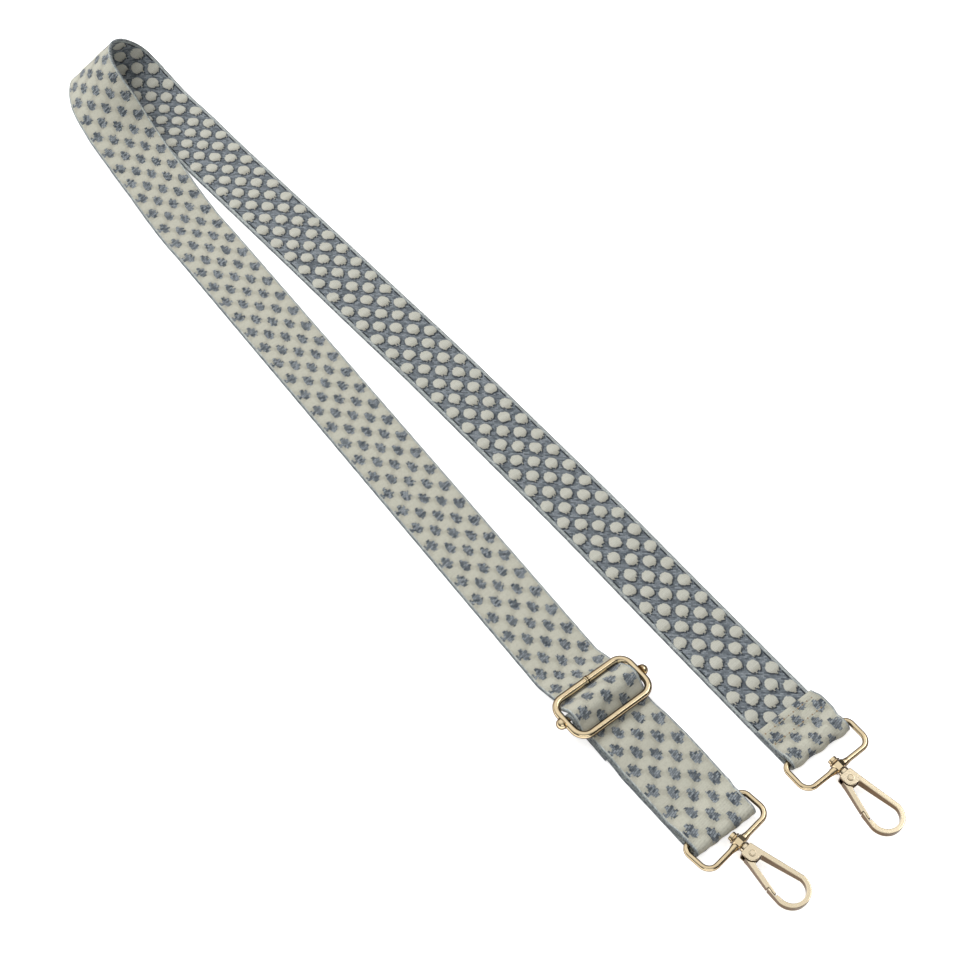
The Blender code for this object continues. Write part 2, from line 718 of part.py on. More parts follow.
def hook_outline():
    """The head, the arm, the bow and the nose with its lip, clockwise from the shoulder."""
    shoulder = Vector((ARM_SHOULDER, HEAD_TOP))
    arm_foot = BOW_CENTRE + Vector((BOW_OUTER_RADIUS, 0))
    eye_top = PIVOT.y - CHEEK_RADIUS
    share = (HEAD_TOP - eye_top) / (HEAD_TOP - BOW_CENTRE.y)
    arm_x = shoulder.x + (arm_foot.x - shoulder.x) * share - ARM_WIDTH
    lip_top = GATE_REACH + TOUCH_GAP
    shelf = GATE_REACH + TONGUE_LENGTH + TONGUE_GAP
    points = [shoulder]
    points += arc(BOW_CENTRE, BOW_OUTER_RADIUS, 0, -180, 14)
    points.append(PIVOT + gate_place(GATE_OUTSET, lip_top))
    points.append(PIVOT + gate_place(GATE_OUTSET - LIP_WIDTH, lip_top))
    points.append(PIVOT + gate_place(GATE_OUTSET - LIP_WIDTH, shelf))
    points.append(PIVOT + gate_place(GATE_INSET, shelf))
    points += arc(BOW_CENTRE, BOW_INNER_RADIUS, -180, 0, SEAT_FACETS)
    points.append(Vector((arm_x, eye_top)))
    points += arc(PIVOT, CHEEK_RADIUS, -90, -180, 5)
    cheek_top = Vector((PIVOT.x - CHEEK_RADIUS + CHEEK_CORNER, HEAD_TOP - CHEEK_CORNER))
    points += arc(cheek_top, CHEEK_CORNER, 180, 90, 3)
    return points


def taper(mesh, start, end, share):
    """Thins a plate along Y, from full thickness at start to a share of it at end."""
    for corner in mesh.vertices:
        way = min(max((corner.co.y - start) / (end - start), 0), 1)
        corner.co.z *= 1 + (share - 1) * way


def build_hook_body(name, gold, swivel, parts, helpers):
    mesh = plate_mesh(name, hook_outline(), HEAD_THICKNESS, parts)
    round_edges(mesh, HOOK_EDGE_ROUND)
    taper(mesh, PIVOT.y, BOW_CENTRE.y, BOW_THICKNESS / HEAD_THICKNESS)
    body = add_object(name, mesh, gold, swivel, parts)
    neck = rod_mesh(f"{name}_neck", NECK_DIAMETER / 2, HEAD_TOP - NECK_LENGTH, NECK_TOP, "Y")
    combine(body, neck, "UNION", helpers)
    outer = PIVOT.x - CHEEK_RADIUS - CUT_OVERRUN
    below = PIVOT.y - CHEEK_RADIUS - CUT_OVERRUN
    slot = arc(PIVOT, SLOT_RADIUS, 90, -50, 7)
    slot.append(Vector((slot[-1].x, below)))
    slot.append(Vector((outer, below)))
    slot.append(Vector((outer, PIVOT.y + SLOT_RADIUS)))
    cutter = plate_mesh(f"{name}_slot", slot, SLOT_THICKNESS, helpers)
    combine(body, cutter, "DIFFERENCE", helpers)
    half = HEAD_THICKNESS / 2 + CUT_OVERRUN
    bore = rod_mesh(f"{name}_rivet_bore", RIVET_DIAMETER / 2 + PIN_GAP, -half, half, "Z", PIVOT)
    combine(body, bore, "DIFFERENCE", helpers)
    radius = PIN_DIAMETER / 2 + PIN_GAP
    floor = NECK_TOP - PIN_TAIL - TOUCH_GAP
    socket = rod_mesh(f"{name}_pin_socket", radius, floor, NECK_TOP + CUT_OVERRUN, "Y")
    combine(body, socket, "DIFFERENCE", helpers)


def build_gate(name, gold, pivot, parts, helpers):
    """The sprung gate about its rivet: a thin knuckle, a thicker bar and a lapped tongue."""
    clear = CHEEK_RADIUS + TOUCH_GAP
    inner_reach = math.sqrt(clear**2 - GATE_INSET**2)
    start = math.degrees(math.atan2(*gate_place(GATE_INSET, inner_reach).yx))
    end = math.degrees(math.atan2(*gate_place(GATE_OUTSET, 0).yx)) - 360
    tongue_end = GATE_REACH + TONGUE_LENGTH
    bar = arc((0, 0), clear, start, end, 5)[:-1]
    bar.append(gate_place(GATE_OUTSET, 0))
    bar.append(gate_place(GATE_OUTSET, GATE_REACH))
    bar.append(gate_place(TONGUE_OUTSET, GATE_REACH))
    bar.append(gate_place(TONGUE_OUTSET, tongue_end - TOUCH_GAP))
    bar.append(gate_place(GATE_INSET, tongue_end))
    mesh = plate_mesh(name, bar, GATE_THICKNESS, parts)
    round_edges(mesh, GATE_EDGE_ROUND)
    tip = gate_place(0, GATE_REACH).y
    taper(mesh, -CHEEK_RADIUS, tip, GATE_TIP_THICKNESS / GATE_THICKNESS)
    gate = add_object(name, mesh, gold, pivot, parts)
    knuckle = arc((0, 0), GATE_KNUCKLE_RADIUS, -90 - GATE_LEAN_DEG, 90 - GATE_LEAN_DEG, 9)
    knuckle.append(gate_place(GATE_OUTSET - TOUCH_GAP, 0))
    knuckle.append(gate_place(GATE_OUTSET - TOUCH_GAP, GATE_KNUCKLE_LENGTH))
    knuckle.append(gate_place(GATE_INSET + TOUCH_GAP, GATE_KNUCKLE_LENGTH))
    plate = plate_mesh(f"{name}_knuckle", knuckle, GATE_KNUCKLE_THICKNESS, helpers)
    combine(gate, plate, "UNION", helpers)
    half = GATE_KNUCKLE_THICKNESS / 2
    radius = SPRING_RADIUS + SPRING_WIRE / 2 + PIN_GAP
    floor = half - SPRING_POCKET_DEPTH
    pocket = rod_mesh(f"{name}_spring_pocket", radius, floor, half + CUT_OVERRUN, "Z")
    combine(gate, pocket, "DIFFERENCE", helpers)
    reach = half + CUT_OVERRUN
    bore = rod_mesh(f"{name}_bore", RIVET_DIAMETER / 2 + PIN_GAP, -reach, reach, "Z")
    combine(gate, bore, "DIFFERENCE", helpers)


def build_rivet(name, gold, pivot, parts):
    seat = HEAD_THICKNESS / 2 + TOUCH_GAP
    rim = seat + RIVET_HEAD_HEIGHT / 3
    half = dome_profile(RIVET_HEAD_DIAMETER / 2, rim, seat + RIVET_HEAD_HEIGHT)
    half.append((RIVET_HEAD_DIAMETER / 2, seat))
    half.append((RIVET_DIAMETER / 2, seat))
    profile = half + [(radius, -height) for radius, height in reversed(half)]
    turned_object(name, profile, gold, pivot, parts)


def build_spring(name, steel, pivot, parts):
    """The gate's coil spring round the rivet, in the knuckle's pocket."""
    middle = (GATE_KNUCKLE_THICKNESS - SPRING_POCKET_DEPTH) / 2
    steps = round(SPRING_TURNS * 12)
    points = []
    for i in range(steps + 1):
        angle = math.tau * SPRING_TURNS * i / steps
        height = middle + SPRING_PITCH * SPRING_TURNS * (i / steps - 0.5)
        points.append((SPRING_RADIUS * math.cos(angle), SPRING_RADIUS * math.sin(angle), height))
    mesh = tube_mesh(name, points, SPRING_WIRE / 2, parts, resolution=1)
    add_object(name, mesh, steel, pivot, parts)


def build_hook(side, lane, along, yaw_deg, gold, steel, strap, parts, helpers):
    """One end fitting: ring, swivel pin, hook, gate, rivet and spring."""
    name = f"hook_{side}"
    seat = add_empty(f"{name}_ring_seat", strap, parts, (lane, along, HOOK_HEIGHT), yaw_deg)
    build_ring(f"{name}_ring", gold, seat, parts, helpers)
    swivel = add_empty(f"{name}_swivel_axis", seat, parts, (0, -RING_REACH, 0))
    build_pin(f"{name}_swivel_pin", gold, swivel, parts)
    build_hook_body(f"{name}_body", gold, swivel, parts, helpers)
    pivot = add_empty(f"{name}_gate_pivot", swivel, parts, (*PIVOT, 0))
    build_gate(f"{name}_gate", gold, pivot, parts, helpers)
    build_rivet(f"{name}_gate_rivet", gold, pivot, parts)
    build_spring(f"{name}_gate_spring", steel, pivot, parts)


def stand_on_origin(strap, parts):
    """Moves the whole strap so that its box stands over the origin, on the table."""
    bpy.context.view_layer.update()
    graph = bpy.context.evaluated_depsgraph_get()
    corners = []
    for part in parts.objects:
        if part.type == "MESH":
            evaluated = part.evaluated_get(graph)
            corners += [part.matrix_world @ v.co for v in evaluated.data.vertices]
    low = [min(corner[i] for corner in corners) for i in range(3)]
    high = [max(corner[i] for corner in corners) for i in range(3)]
    strap.location = (-(low[0] + high[0]) / 2, -(low[1] + high[1]) / 2, -low[2])
    bpy.context.view_layer.update()


def main():
    clear_scene()
    parts = make_collection("bag_strap")
    helpers = make_collection("bag_strap_helpers")
    webbing = make_material("webbing_cream", (0.60, 0.57, 0.47), 0.9, 0.0)
    thread = make_material("thread_cream", (0.66, 0.62, 0.52), 0.8, 0.0)
    gold = make_material("pale_gold", (0.80, 0.68, 0.48), 0.25, 1.0)
    steel = make_material("spring_steel", (0.55, 0.55, 0.56), 0.35, 1.0)
    strap = add_empty("strap_frame", None, parts)
    slider = add_empty("slider_seat", strap, parts, (LEFT_LANE, SLIDER_DISTANCE, 0))
    build_strap(webbing, thread, strap, parts)
    build_slider_webbing(webbing, slider, parts)
    build_loop(webbing, strap, parts)
    build_slider(gold, slider, parts, helpers)
    hooks = (
        ("a", LEFT_LANE, RING_ALONG_A, RING_YAW_A_DEG),
        ("b", RIGHT_LANE, RING_ALONG_B, RING_YAW_B_DEG),
    )
    for hook in hooks:
        build_hook(*hook, gold, steel, strap, parts, helpers)
    stand_on_origin(strap, parts)


main()
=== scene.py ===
import math

import bmesh
import bpy
import numpy as np
from mathutils import Matrix, Vector


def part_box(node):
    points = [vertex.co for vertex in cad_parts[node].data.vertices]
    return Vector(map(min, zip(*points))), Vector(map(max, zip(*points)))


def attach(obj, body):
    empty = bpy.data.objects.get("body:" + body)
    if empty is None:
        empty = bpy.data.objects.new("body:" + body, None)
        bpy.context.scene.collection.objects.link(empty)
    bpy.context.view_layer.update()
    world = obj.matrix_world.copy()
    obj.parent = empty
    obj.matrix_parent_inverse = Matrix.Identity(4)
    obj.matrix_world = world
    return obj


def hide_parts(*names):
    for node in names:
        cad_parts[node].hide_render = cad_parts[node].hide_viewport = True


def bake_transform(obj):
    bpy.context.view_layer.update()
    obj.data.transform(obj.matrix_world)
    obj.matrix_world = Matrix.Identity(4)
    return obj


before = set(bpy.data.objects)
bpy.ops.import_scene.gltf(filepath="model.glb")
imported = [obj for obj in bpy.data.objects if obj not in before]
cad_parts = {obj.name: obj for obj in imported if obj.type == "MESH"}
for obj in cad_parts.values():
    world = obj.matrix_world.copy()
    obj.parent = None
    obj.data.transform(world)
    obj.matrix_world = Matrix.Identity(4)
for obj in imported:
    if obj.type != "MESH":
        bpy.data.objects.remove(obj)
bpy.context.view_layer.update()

mm = 0.001

# Where things are: the slider's bar gives the strap's own origin

barLow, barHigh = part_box("slider_bar")
sliderPlace = dict(distance=82.0, lane=-34.1)
originX = (barLow[0] + barHigh[0]) / 2 / mm - sliderPlace["lane"]
originY = (barLow[1] + barHigh[1]) / 2 / mm - sliderPlace["distance"]


def toWorld(point):  # strap millimetres to metres in the frame
    return Vector(((point[0] + originX) * mm, (point[1] + originY) * mm, point[2] * mm))


# Camera, light and floor

view = dict(
    place=(-380.85, -452.21, 821.7),
    forward=(0.3918, 0.4001, -0.8285),
    right=(0.7145, -0.6997, 0.0),
    up=(0.5797, 0.5920, 0.5600),
    tilt=0.09616,
    lens=68.0,
)


def addCamera():
    data = bpy.data.cameras.new("photoCamera")
    data.lens = view["lens"]
    data.sensor_width = 36
    data.clip_start = 0.01
    data.clip_end = 100
    camera = bpy.data.objects.new("photoCamera", data)
    bpy.context.scene.collection.objects.link(camera)
    right, up = Vector(view["right"]), Vector(view["up"])
    tilt = view["tilt"]
    level = math.sqrt(1 - tilt * tilt)
    across = (level * right + tilt * up).normalized()
    back = -Vector(view["forward"]).normalized()
    upright = back.cross(across).normalized()
    across = upright.cross(back).normalized()
    turn = Matrix((across, upright, back)).transposed().to_4x4()
    camera.matrix_world = Matrix.Translation(Vector(view["place"]) * mm) @ turn
    bpy.context.scene.camera = camera


light = dict(
    sky=0.93, horizon=0.05, dimBelow=0.28, skyAxis=(-0.02, 0.50, 0.86), floorShade=0.86, floorGlow=0.66,
    lamps=(  # name, place and target in metres, size, power
        ("keyLight", (-0.35, 0.85, 1.15), (0, 0.05, 0), 1.1, 12.0),
        ("fillLight", (1.0, -0.5, 1.2), (0, 0, 0), 0.9, 3.6),
        ("frontLight", (-0.5, -0.9, 0.5), (0, 0.15, 0.02), 0.9, 2.0),
    ),
)


def addLamp(name, place, target, size, power):
    data = bpy.data.lights.new(name, "AREA")
    data.shape = "RECTANGLE"
    data.size = size
    data.size_y = size * 0.7
    data.energy = power
    lamp = bpy.data.objects.new(name, data)
    bpy.context.scene.collection.objects.link(lamp)
    lamp.location = place
    lamp.rotation_euler = (Vector(target) - Vector(place)).to_track_quat("-Z", "Y").to_euler()
    return lamp


def addSky():
    world = bpy.data.worlds.new("studio")
    bpy.context.scene.world = world
    world.use_nodes = True
    tree = world.node_tree
    background = tree.nodes["Background"]
    place = tree.nodes.new("ShaderNodeTexCoord")  # bright overhead and behind, dim towards the horizon
    facing = tree.nodes.new("ShaderNodeVectorMath")
    facing.operation = "DOT_PRODUCT"
    facing.inputs[1].default_value = Vector(light["skyAxis"]).normalized()
    tree.links.new(place.outputs["Generated"], facing.inputs[0])
    rise = tree.nodes.new("ShaderNodeMapRange")
    rise.interpolation_type = "SMOOTHSTEP"
    rise.inputs["From Min"].default_value = light["dimBelow"]
    rise.inputs["From Max"].default_value = 1.0
    rise.inputs["To Min"].default_value = light["horizon"]
    rise.inputs["To Max"].default_value = light["sky"]
    tree.links.new(facing.outputs["Value"], rise.inputs["Value"])
    tree.links.new(rise.outputs["Result"], background.inputs["Strength"])
    background.inputs["Color"].default_value = (1, 1, 1, 1)


def addLamps():
    for name, place, target, size, power in light["lamps"]:
        lamp = addLamp(name, place, target, size, power)
        lamp.visible_glossy = name != "keyLight"  # the metal mirrors the sky and the two soft lamps


def addFloor():
    bpy.ops.mesh.primitive_plane_add(size=80, location=(0, 0, -0.0004))
    floor = bpy.context.active_object
    floor.name = "floor"
    material = bpy.data.materials.new("paleFloor")
    material.use_nodes = True
    nodes, links = material.node_tree.nodes, material.node_tree.links
    shader = nodes["Principled BSDF"]
    shade = light["floorShade"]
    shader.inputs["Base Color"].default_value = (shade, shade, shade, 1)
    shader.inputs["Roughness"].default_value = 0.9
    shader.inputs["Specular IOR Level"].default_value = 0.1
    path = nodes.new("ShaderNodeLightPath")
    seen = nodes.new("ShaderNodeMath")
    seen.operation = "MAXIMUM"
    links.new(path.outputs["Is Camera Ray"], seen.inputs[0])
    links.new(path.outputs["Is Transmission Ray"], seen.inputs[1])
    glossy = nodes.new("ShaderNodeMath")
    glossy.operation = "MAXIMUM"
    links.new(seen.outputs[0], glossy.inputs[0])
    links.new(path.outputs["Is Glossy Ray"], glossy.inputs[1])
    glow = nodes.new("ShaderNodeMath")
    glow.operation = "MULTIPLY"
    glow.inputs[1].default_value = light["floorGlow"]
    links.new(glossy.outputs[0], glow.inputs[0])
    shader.inputs["Emission Color"].default_value = (1, 1, 1, 1)
    links.new(glow.outputs[0], shader.inputs["Emission Strength"])
    floor.data.materials.append(material)


# Shader helpers

def calc(tree, operation, *values, clamp=False):
    node = tree.nodes.new("ShaderNodeMath")
    node.operation = operation
    node.use_clamp = clamp
    for socket, value in zip(node.inputs, values):
        put(tree, socket, value)
    return node.outputs[0]


def put(tree, socket, value):
    if isinstance(value, bpy.types.NodeSocket):
        tree.links.new(value, socket)
    else:
        socket.default_value = value


def mixColour(tree, share, first, second, blend="MIX"):
    node = tree.nodes.new("ShaderNodeMix")
    node.data_type = "RGBA"
    node.blend_type = blend
    node.clamp_factor = True
    put(tree, node.inputs[0], share)
    put(tree, node.inputs[6], first)
    put(tree, node.inputs[7], second)
    return node.outputs[2]


def ramp(tree, value, low, high):  # 0 below low, 1 above high
    node = tree.nodes.new("ShaderNodeMapRange")
    node.interpolation_type = "SMOOTHSTEP"
    put(tree, node.inputs["Value"], value)
    node.inputs["From Min"].default_value = low
    node.inputs["From Max"].default_value = high
    return node.outputs["Result"]


def inverse(tree, value):
    return calc(tree, "SUBTRACT", 1.0, value)


def weighted(tree, start, *parts, clamp=False):  # start and each value times its weight, added up
    last = len(parts) - 1
    for i, (value, weight) in enumerate(parts):
        start = calc(tree, "MULTIPLY_ADD", value, weight, start, clamp=clamp and i == last)
    return start


def noise(tree, vector, scale, detail=2.0):
    node = tree.nodes.new("ShaderNodeTexNoise")
    node.inputs["Scale"].default_value = scale
    node.inputs["Detail"].default_value = detail
    tree.links.new(vector, node.inputs["Vector"])
    return node.outputs["Fac"]


def newGroup(name, inputs, outputs):
    tree = bpy.data.node_groups.new(name, "ShaderNodeTree")
    for label, kind in inputs:
        tree.interface.new_socket(name=label, in_out="INPUT", socket_type=kind)
    for label, kind in outputs:
        tree.interface.new_socket(name=label, in_out="OUTPUT", socket_type=kind)
    source = tree.nodes.new("NodeGroupInput")
    sink = tree.nodes.new("NodeGroupOutput")
    return tree, source, sink


def useGroup(tree, group, **values):
    node = tree.nodes.new("ShaderNodeGroup")
    node.node_tree = group
    for label, value in values.items():
        put(tree, node.inputs[label], value)
    return node


def giveOut(tree, sink, values):
    for label, value in values.items():
        tree.links.new(value, sink.inputs[label])


def srgb(red, green, blue):
    def straight(value):
        value /= 255
        return value / 12.92 if value <= 0.04045 else ((value + 0.055) / 1.055) ** 2.4
    return (straight(red), straight(green), straight(blue), 1.0)


# The weave: millimetres across (U) and along (V) the webbing, kept as a UV map

weave = dict(
    rowPitch=6.65,  # between rows of stars, half the pattern's length
    columnPitch=6.8,
    pick=0.6,
    end=0.55,
    cream=srgb(207, 206, 191),
    dot=srgb(219, 219, 207),
    creamShade=srgb(154, 150, 134),
    blue=srgb(133, 142, 149),
    blueDark=srgb(74, 82, 90),
    blueDeep=srgb(50, 56, 62),
    blueLight=srgb(166, 174, 180),
    selvedge=srgb(204, 211, 208),
    edgeDark=srgb(104, 111, 118),
)


def makeLatticeGroup():
    tree, source, sink = newGroup(
        "starLattice",
        [("Across", "NodeSocketFloat"), ("Along", "NodeSocketFloat")],
        [("Off Across", "NodeSocketFloat"), ("Off Along", "NodeSocketFloat"), ("Real", "NodeSocketFloat"),
         ("Puff", "NodeSocketFloat"), ("Row Off", "NodeSocketFloat")],
    )
    across, along = source.outputs["Across"], source.outputs["Along"]
    x = calc(tree, "DIVIDE", across, weave["columnPitch"])
    y = calc(tree, "DIVIDE", along, weave["rowPitch"])
    a = calc(tree, "MULTIPLY", calc(tree, "ADD", x, y), 0.5)
    b = calc(tree, "MULTIPLY", calc(tree, "SUBTRACT", x, y), 0.5)
    fa = calc(tree, "SUBTRACT", a, calc(tree, "ROUND", a))
    fb = calc(tree, "SUBTRACT", b, calc(tree, "ROUND", b))
    offAcross = calc(tree, "MULTIPLY", calc(tree, "ADD", fa, fb), weave["columnPitch"])
    offAlong = calc(tree, "MULTIPLY", calc(tree, "SUBTRACT", fa, fb), weave["rowPitch"])
    centre = calc(tree, "ABSOLUTE", calc(tree, "SUBTRACT", across, offAcross))
    real = calc(tree, "LESS_THAN", centre, 2.5 * weave["columnPitch"])
    waveA = calc(tree, "POWER", calc(tree, "SINE", calc(tree, "MULTIPLY", a, math.pi)), 2.0)
    waveB = calc(tree, "POWER", calc(tree, "SINE", calc(tree, "MULTIPLY", b, math.pi)), 2.0)
    puff = calc(tree, "POWER", calc(tree, "MULTIPLY", waveA, waveB), 0.7)  # pillows between the stars
    period = 2 * weave["rowPitch"]
    turns = calc(tree, "DIVIDE", along, period)
    rowOff = calc(tree, "MULTIPLY", calc(tree, "SUBTRACT", turns, calc(tree, "ROUND", turns)), period)
    giveOut(tree, sink, {
        "Off Across": offAcross, "Off Along": offAlong, "Real": real, "Puff": puff, "Row Off": rowOff,
    })
    return tree


def stepped(tree, value, size):  # whole threads
    cell = calc(tree, "FLOOR", calc(tree, "DIVIDE", value, size))
    return calc(tree, "MULTIPLY", calc(tree, "ADD", cell, 0.5), size)


def boxMask(tree, x, y, centre, halfX, middle, halfY):
    dx = calc(tree, "DIVIDE", calc(tree, "ABSOLUTE", calc(tree, "SUBTRACT", x, centre)), halfX)
    dy = calc(tree, "DIVIDE", calc(tree, "ABSOLUTE", calc(tree, "SUBTRACT", y, middle)), halfY)
    return calc(tree, "SUBTRACT", 1.0, calc(tree, "MAXIMUM", dx, dy))


star = dict(  # boxes that make it up: middle and half size across, then along
    boxes=(
        (-0.1, 1.75, -0.1, 2.15), (0.1, 1.15, -1.7, 1.6), (-0.1, 1.2, 2.1, 1.0), (-0.2, 0.85, 3.1, 0.95),
        (1.8, 0.75, 1.6, 0.75), (1.9, 0.95, -0.9, 0.75), (1.4, 0.5, 0.3, 1.4),
    ),
    atEdge=((15.4, 1.8, 0.1, 0.85), (16.9, 0.5, 0.5, 1.7)),  # the part stars along the webbing's edges
    ragged=0.15,
    extra=0.14,
    # the colour's darkening in this hollow is painted shade
    dent=(4.4, 5.6),  # half size of the hollow that it lies in
)


def makeStarGroup(lattice):
    tree, source, sink = newGroup(
        "starMask",
        [("Across", "NodeSocketFloat"), ("Along", "NodeSocketFloat")],
        [("Mask", "NodeSocketFloat"), ("Near Shade", "NodeSocketFloat"), ("Puff", "NodeSocketFloat")],
    )
    across = stepped(tree, source.outputs["Across"], weave["end"])
    along = stepped(tree, source.outputs["Along"], weave["pick"])
    cell = useGroup(tree, lattice, Across=across, Along=along)
    x = cell.outputs["Off Across"]
    y = calc(tree, "MULTIPLY", cell.outputs["Off Along"], -1.0)
    spot = tree.nodes.new("ShaderNodeCombineXYZ")
    put(tree, spot.inputs[0], across)
    put(tree, spot.inputs[1], along)
    ragged = tree.nodes.new("ShaderNodeTexWhiteNoise")
    ragged.noise_dimensions = "2D"
    tree.links.new(spot.outputs[0], ragged.inputs["Vector"])
    shape = -10.0
    for centre, halfX, middle, halfY in star["boxes"]:  # how far inside each box, in millimetres
        dx = calc(tree, "SUBTRACT", halfX, calc(tree, "ABSOLUTE", calc(tree, "SUBTRACT", x, centre)))
        dy = calc(tree, "SUBTRACT", halfY, calc(tree, "ABSOLUTE", calc(tree, "SUBTRACT", y, middle)))
        shape = calc(tree, "MAXIMUM", shape, calc(tree, "MINIMUM", dx, dy))
    frayed = calc(tree, "MULTIPLY", calc(tree, "SUBTRACT", ragged.outputs["Value"], 0.35), 2 * star["ragged"])
    shape = calc(tree, "SUBTRACT", shape, frayed)
    shape = calc(tree, "MULTIPLY", calc(tree, "GREATER_THAN", shape, -star["extra"]), cell.outputs["Real"])
    side = calc(tree, "ABSOLUTE", across)
    rowOff = calc(tree, "MULTIPLY", cell.outputs["Row Off"], -1.0)
    atEdge = calc(tree, "MAXIMUM", *[boxMask(tree, side, rowOff, *box) for box in star["atEdge"]])
    mask = calc(tree, "MAXIMUM", shape, calc(tree, "GREATER_THAN", atEdge, 0.0))

    # the last output darkens the hollow round each star: painted shade
    fine = useGroup(tree, lattice, Across=source.outputs["Across"], Along=source.outputs["Along"])
    nx = calc(tree, "DIVIDE", calc(tree, "ABSOLUTE", fine.outputs["Off Across"]), star["dent"][0])
    ny = calc(tree, "DIVIDE", calc(tree, "ABSOLUTE", fine.outputs["Off Along"]), star["dent"][1])
    far = calc(tree, "ADD", calc(tree, "POWER", nx, 2.0), calc(tree, "POWER", ny, 2.0))
    near = calc(tree, "MULTIPLY", inverse(tree, ramp(tree, far, 0.25, 1.0)), fine.outputs["Real"])
    giveOut(tree, sink, {"Mask": mask, "Near Shade": near, "Puff": fine.outputs["Puff"]})
    return tree


dots = dict(
    halfAcross=3.6, halfAlong=4.35, squareAcross=1.7, squareAlong=2.4, fray=1.6, upperFray=0.45, thread=0.75,
    dashPlace=16.7, dashHalf=0.5, dashGap=4.0,  # dark dashes between the outer dots
)

def makeDotGroup(lattice):
    tree, source, sink = newGroup(
        "dotMask",
        [("Across", "NodeSocketFloat"), ("Along", "NodeSocketFloat"), ("Fray", "NodeSocketFloat")],
        [("Mask", "NodeSocketFloat"), ("Rim", "NodeSocketFloat"), ("Lower Shade", "NodeSocketFloat")],
    )
    across, along = source.outputs["Across"], source.outputs["Along"]
    cell = useGroup(tree, lattice, Across=across, Along=along)
    x = calc(tree, "ABSOLUTE", cell.outputs["Off Across"])
    down = calc(tree, "MULTIPLY", cell.outputs["Off Along"], -1.0)
    # darker towards the lower side of each dot: painted shade
    lowerShade = ramp(tree, down, -0.6, 3.6)
    upper = dots["upperFray"]
    share = calc(tree, "MULTIPLY_ADD", calc(tree, "GREATER_THAN", down, 0.0), 1 - upper, upper)
    frayed = calc(tree, "MULTIPLY", source.outputs["Fray"], share)
    y = calc(tree, "ADD", calc(tree, "ABSOLUTE", down), frayed)
    px = calc(tree, "POWER", calc(tree, "DIVIDE", x, dots["halfAcross"]), dots["squareAcross"])
    py = calc(tree, "POWER", calc(tree, "DIVIDE", y, dots["halfAlong"]), dots["squareAlong"])
    far = calc(tree, "ADD", px, py)
    mask = calc(tree, "MULTIPLY", inverse(tree, ramp(tree, far, 0.9, 1.06)), cell.outputs["Real"])
    # a dark ring round each dot, heavier on its lower side: painted shade in the crease round the dome
    rim = calc(tree, "MULTIPLY", ramp(tree, far, 0.8, 1.1), inverse(tree, ramp(tree, far, 1.2, 1.9)))
    rim = calc(tree, "MULTIPLY", rim, calc(tree, "MULTIPLY_ADD", lowerShade, 0.75, 0.25))
    rim = calc(tree, "MULTIPLY", rim, cell.outputs["Real"])
    offDash = calc(
        tree, "ABSOLUTE", calc(tree, "SUBTRACT", calc(tree, "ABSOLUTE", across), dots["dashPlace"]),
    )
    beside = calc(tree, "SUBTRACT", dots["dashHalf"], offDash)
    between = calc(tree, "SUBTRACT", calc(tree, "ABSOLUTE", cell.outputs["Row Off"]), dots["dashGap"])
    dashes = calc(tree, "GREATER_THAN", calc(tree, "MINIMUM", beside, between), 0.0)
    giveOut(tree, sink, {"Mask": mask, "Rim": calc(tree, "MAXIMUM", rim, dashes), "Lower Shade": lowerShade})
    return tree


def makeYarnGroup():
    tree, source, sink = newGroup(
        "yarnTexture",
        [("Vector", "NodeSocketVector"), ("Width", "NodeSocketFloat"), ("Height", "NodeSocketFloat")],
        [("Yarn", "NodeSocketFloat"), ("Tone", "NodeSocketFloat")],
    )
    node = tree.nodes.new("ShaderNodeTexBrick")
    node.offset = 0.5
    node.inputs["Scale"].default_value = 1.0
    node.inputs["Color1"].default_value = (0, 0, 0, 1)
    node.inputs["Color2"].default_value = (1, 1, 1, 1)
    node.inputs["Mortar"].default_value = (0, 0, 0, 1)
    node.inputs["Mortar Size"].default_value = 0.12
    node.inputs["Mortar Smooth"].default_value = 0.8
    tree.links.new(source.outputs["Vector"], node.inputs["Vector"])
    tree.links.new(source.outputs["Width"], node.inputs["Brick Width"])
    tree.links.new(source.outputs["Height"], node.inputs["Row Height"])
    yarn = inverse(tree, node.outputs["Fac"])
    tone = calc(tree, "DIVIDE", node.outputs["Color"], calc(tree, "MAXIMUM", yarn, 0.2))
    giveOut(tree, sink, {"Yarn": yarn, "Tone": tone})
    return tree


lattice = makeLatticeGroup()
starGroup = makeStarGroup(lattice)
dotGroup = makeDotGroup(lattice)
yarnGroup = makeYarnGroup()
print("weave groups made")


def weaveMaterial(name):
    material = bpy.data.materials.new(name)
    material.use_nodes = True
    tree = material.node_tree
    shader = tree.nodes["Principled BSDF"]
    shader.inputs["Specular IOR Level"].default_value = 0.15
    shader.inputs["Sheen Weight"].default_value = 0.25
    shader.inputs["Sheen Roughness"].default_value = 0.5
    uv = tree.nodes.new("ShaderNodeUVMap")
    uv.uv_map = "weave"
    split = tree.nodes.new("ShaderNodeSeparateXYZ")
    tree.links.new(uv.outputs[0], split.inputs[0])
    return material, tree, shader, uv.outputs[0], split.outputs[0], split.outputs[1]


def turned(tree, vector, degrees):
    node = tree.nodes.new("ShaderNodeVectorRotate")
    node.rotation_type = "Z_AXIS"
    node.inputs["Angle"].default_value = math.radians(degrees)
    tree.links.new(vector, node.inputs["Vector"])
    return node.outputs[0]


def bumpFrom(tree, shader, height, distance):
    bump = tree.nodes.new("ShaderNodeBump")
    bump.inputs["Distance"].default_value = distance
    bump.inputs["Strength"].default_value = 1.0
    tree.links.new(height, bump.inputs["Height"])
    tree.links.new(bump.outputs[0], shader.inputs["Normal"])


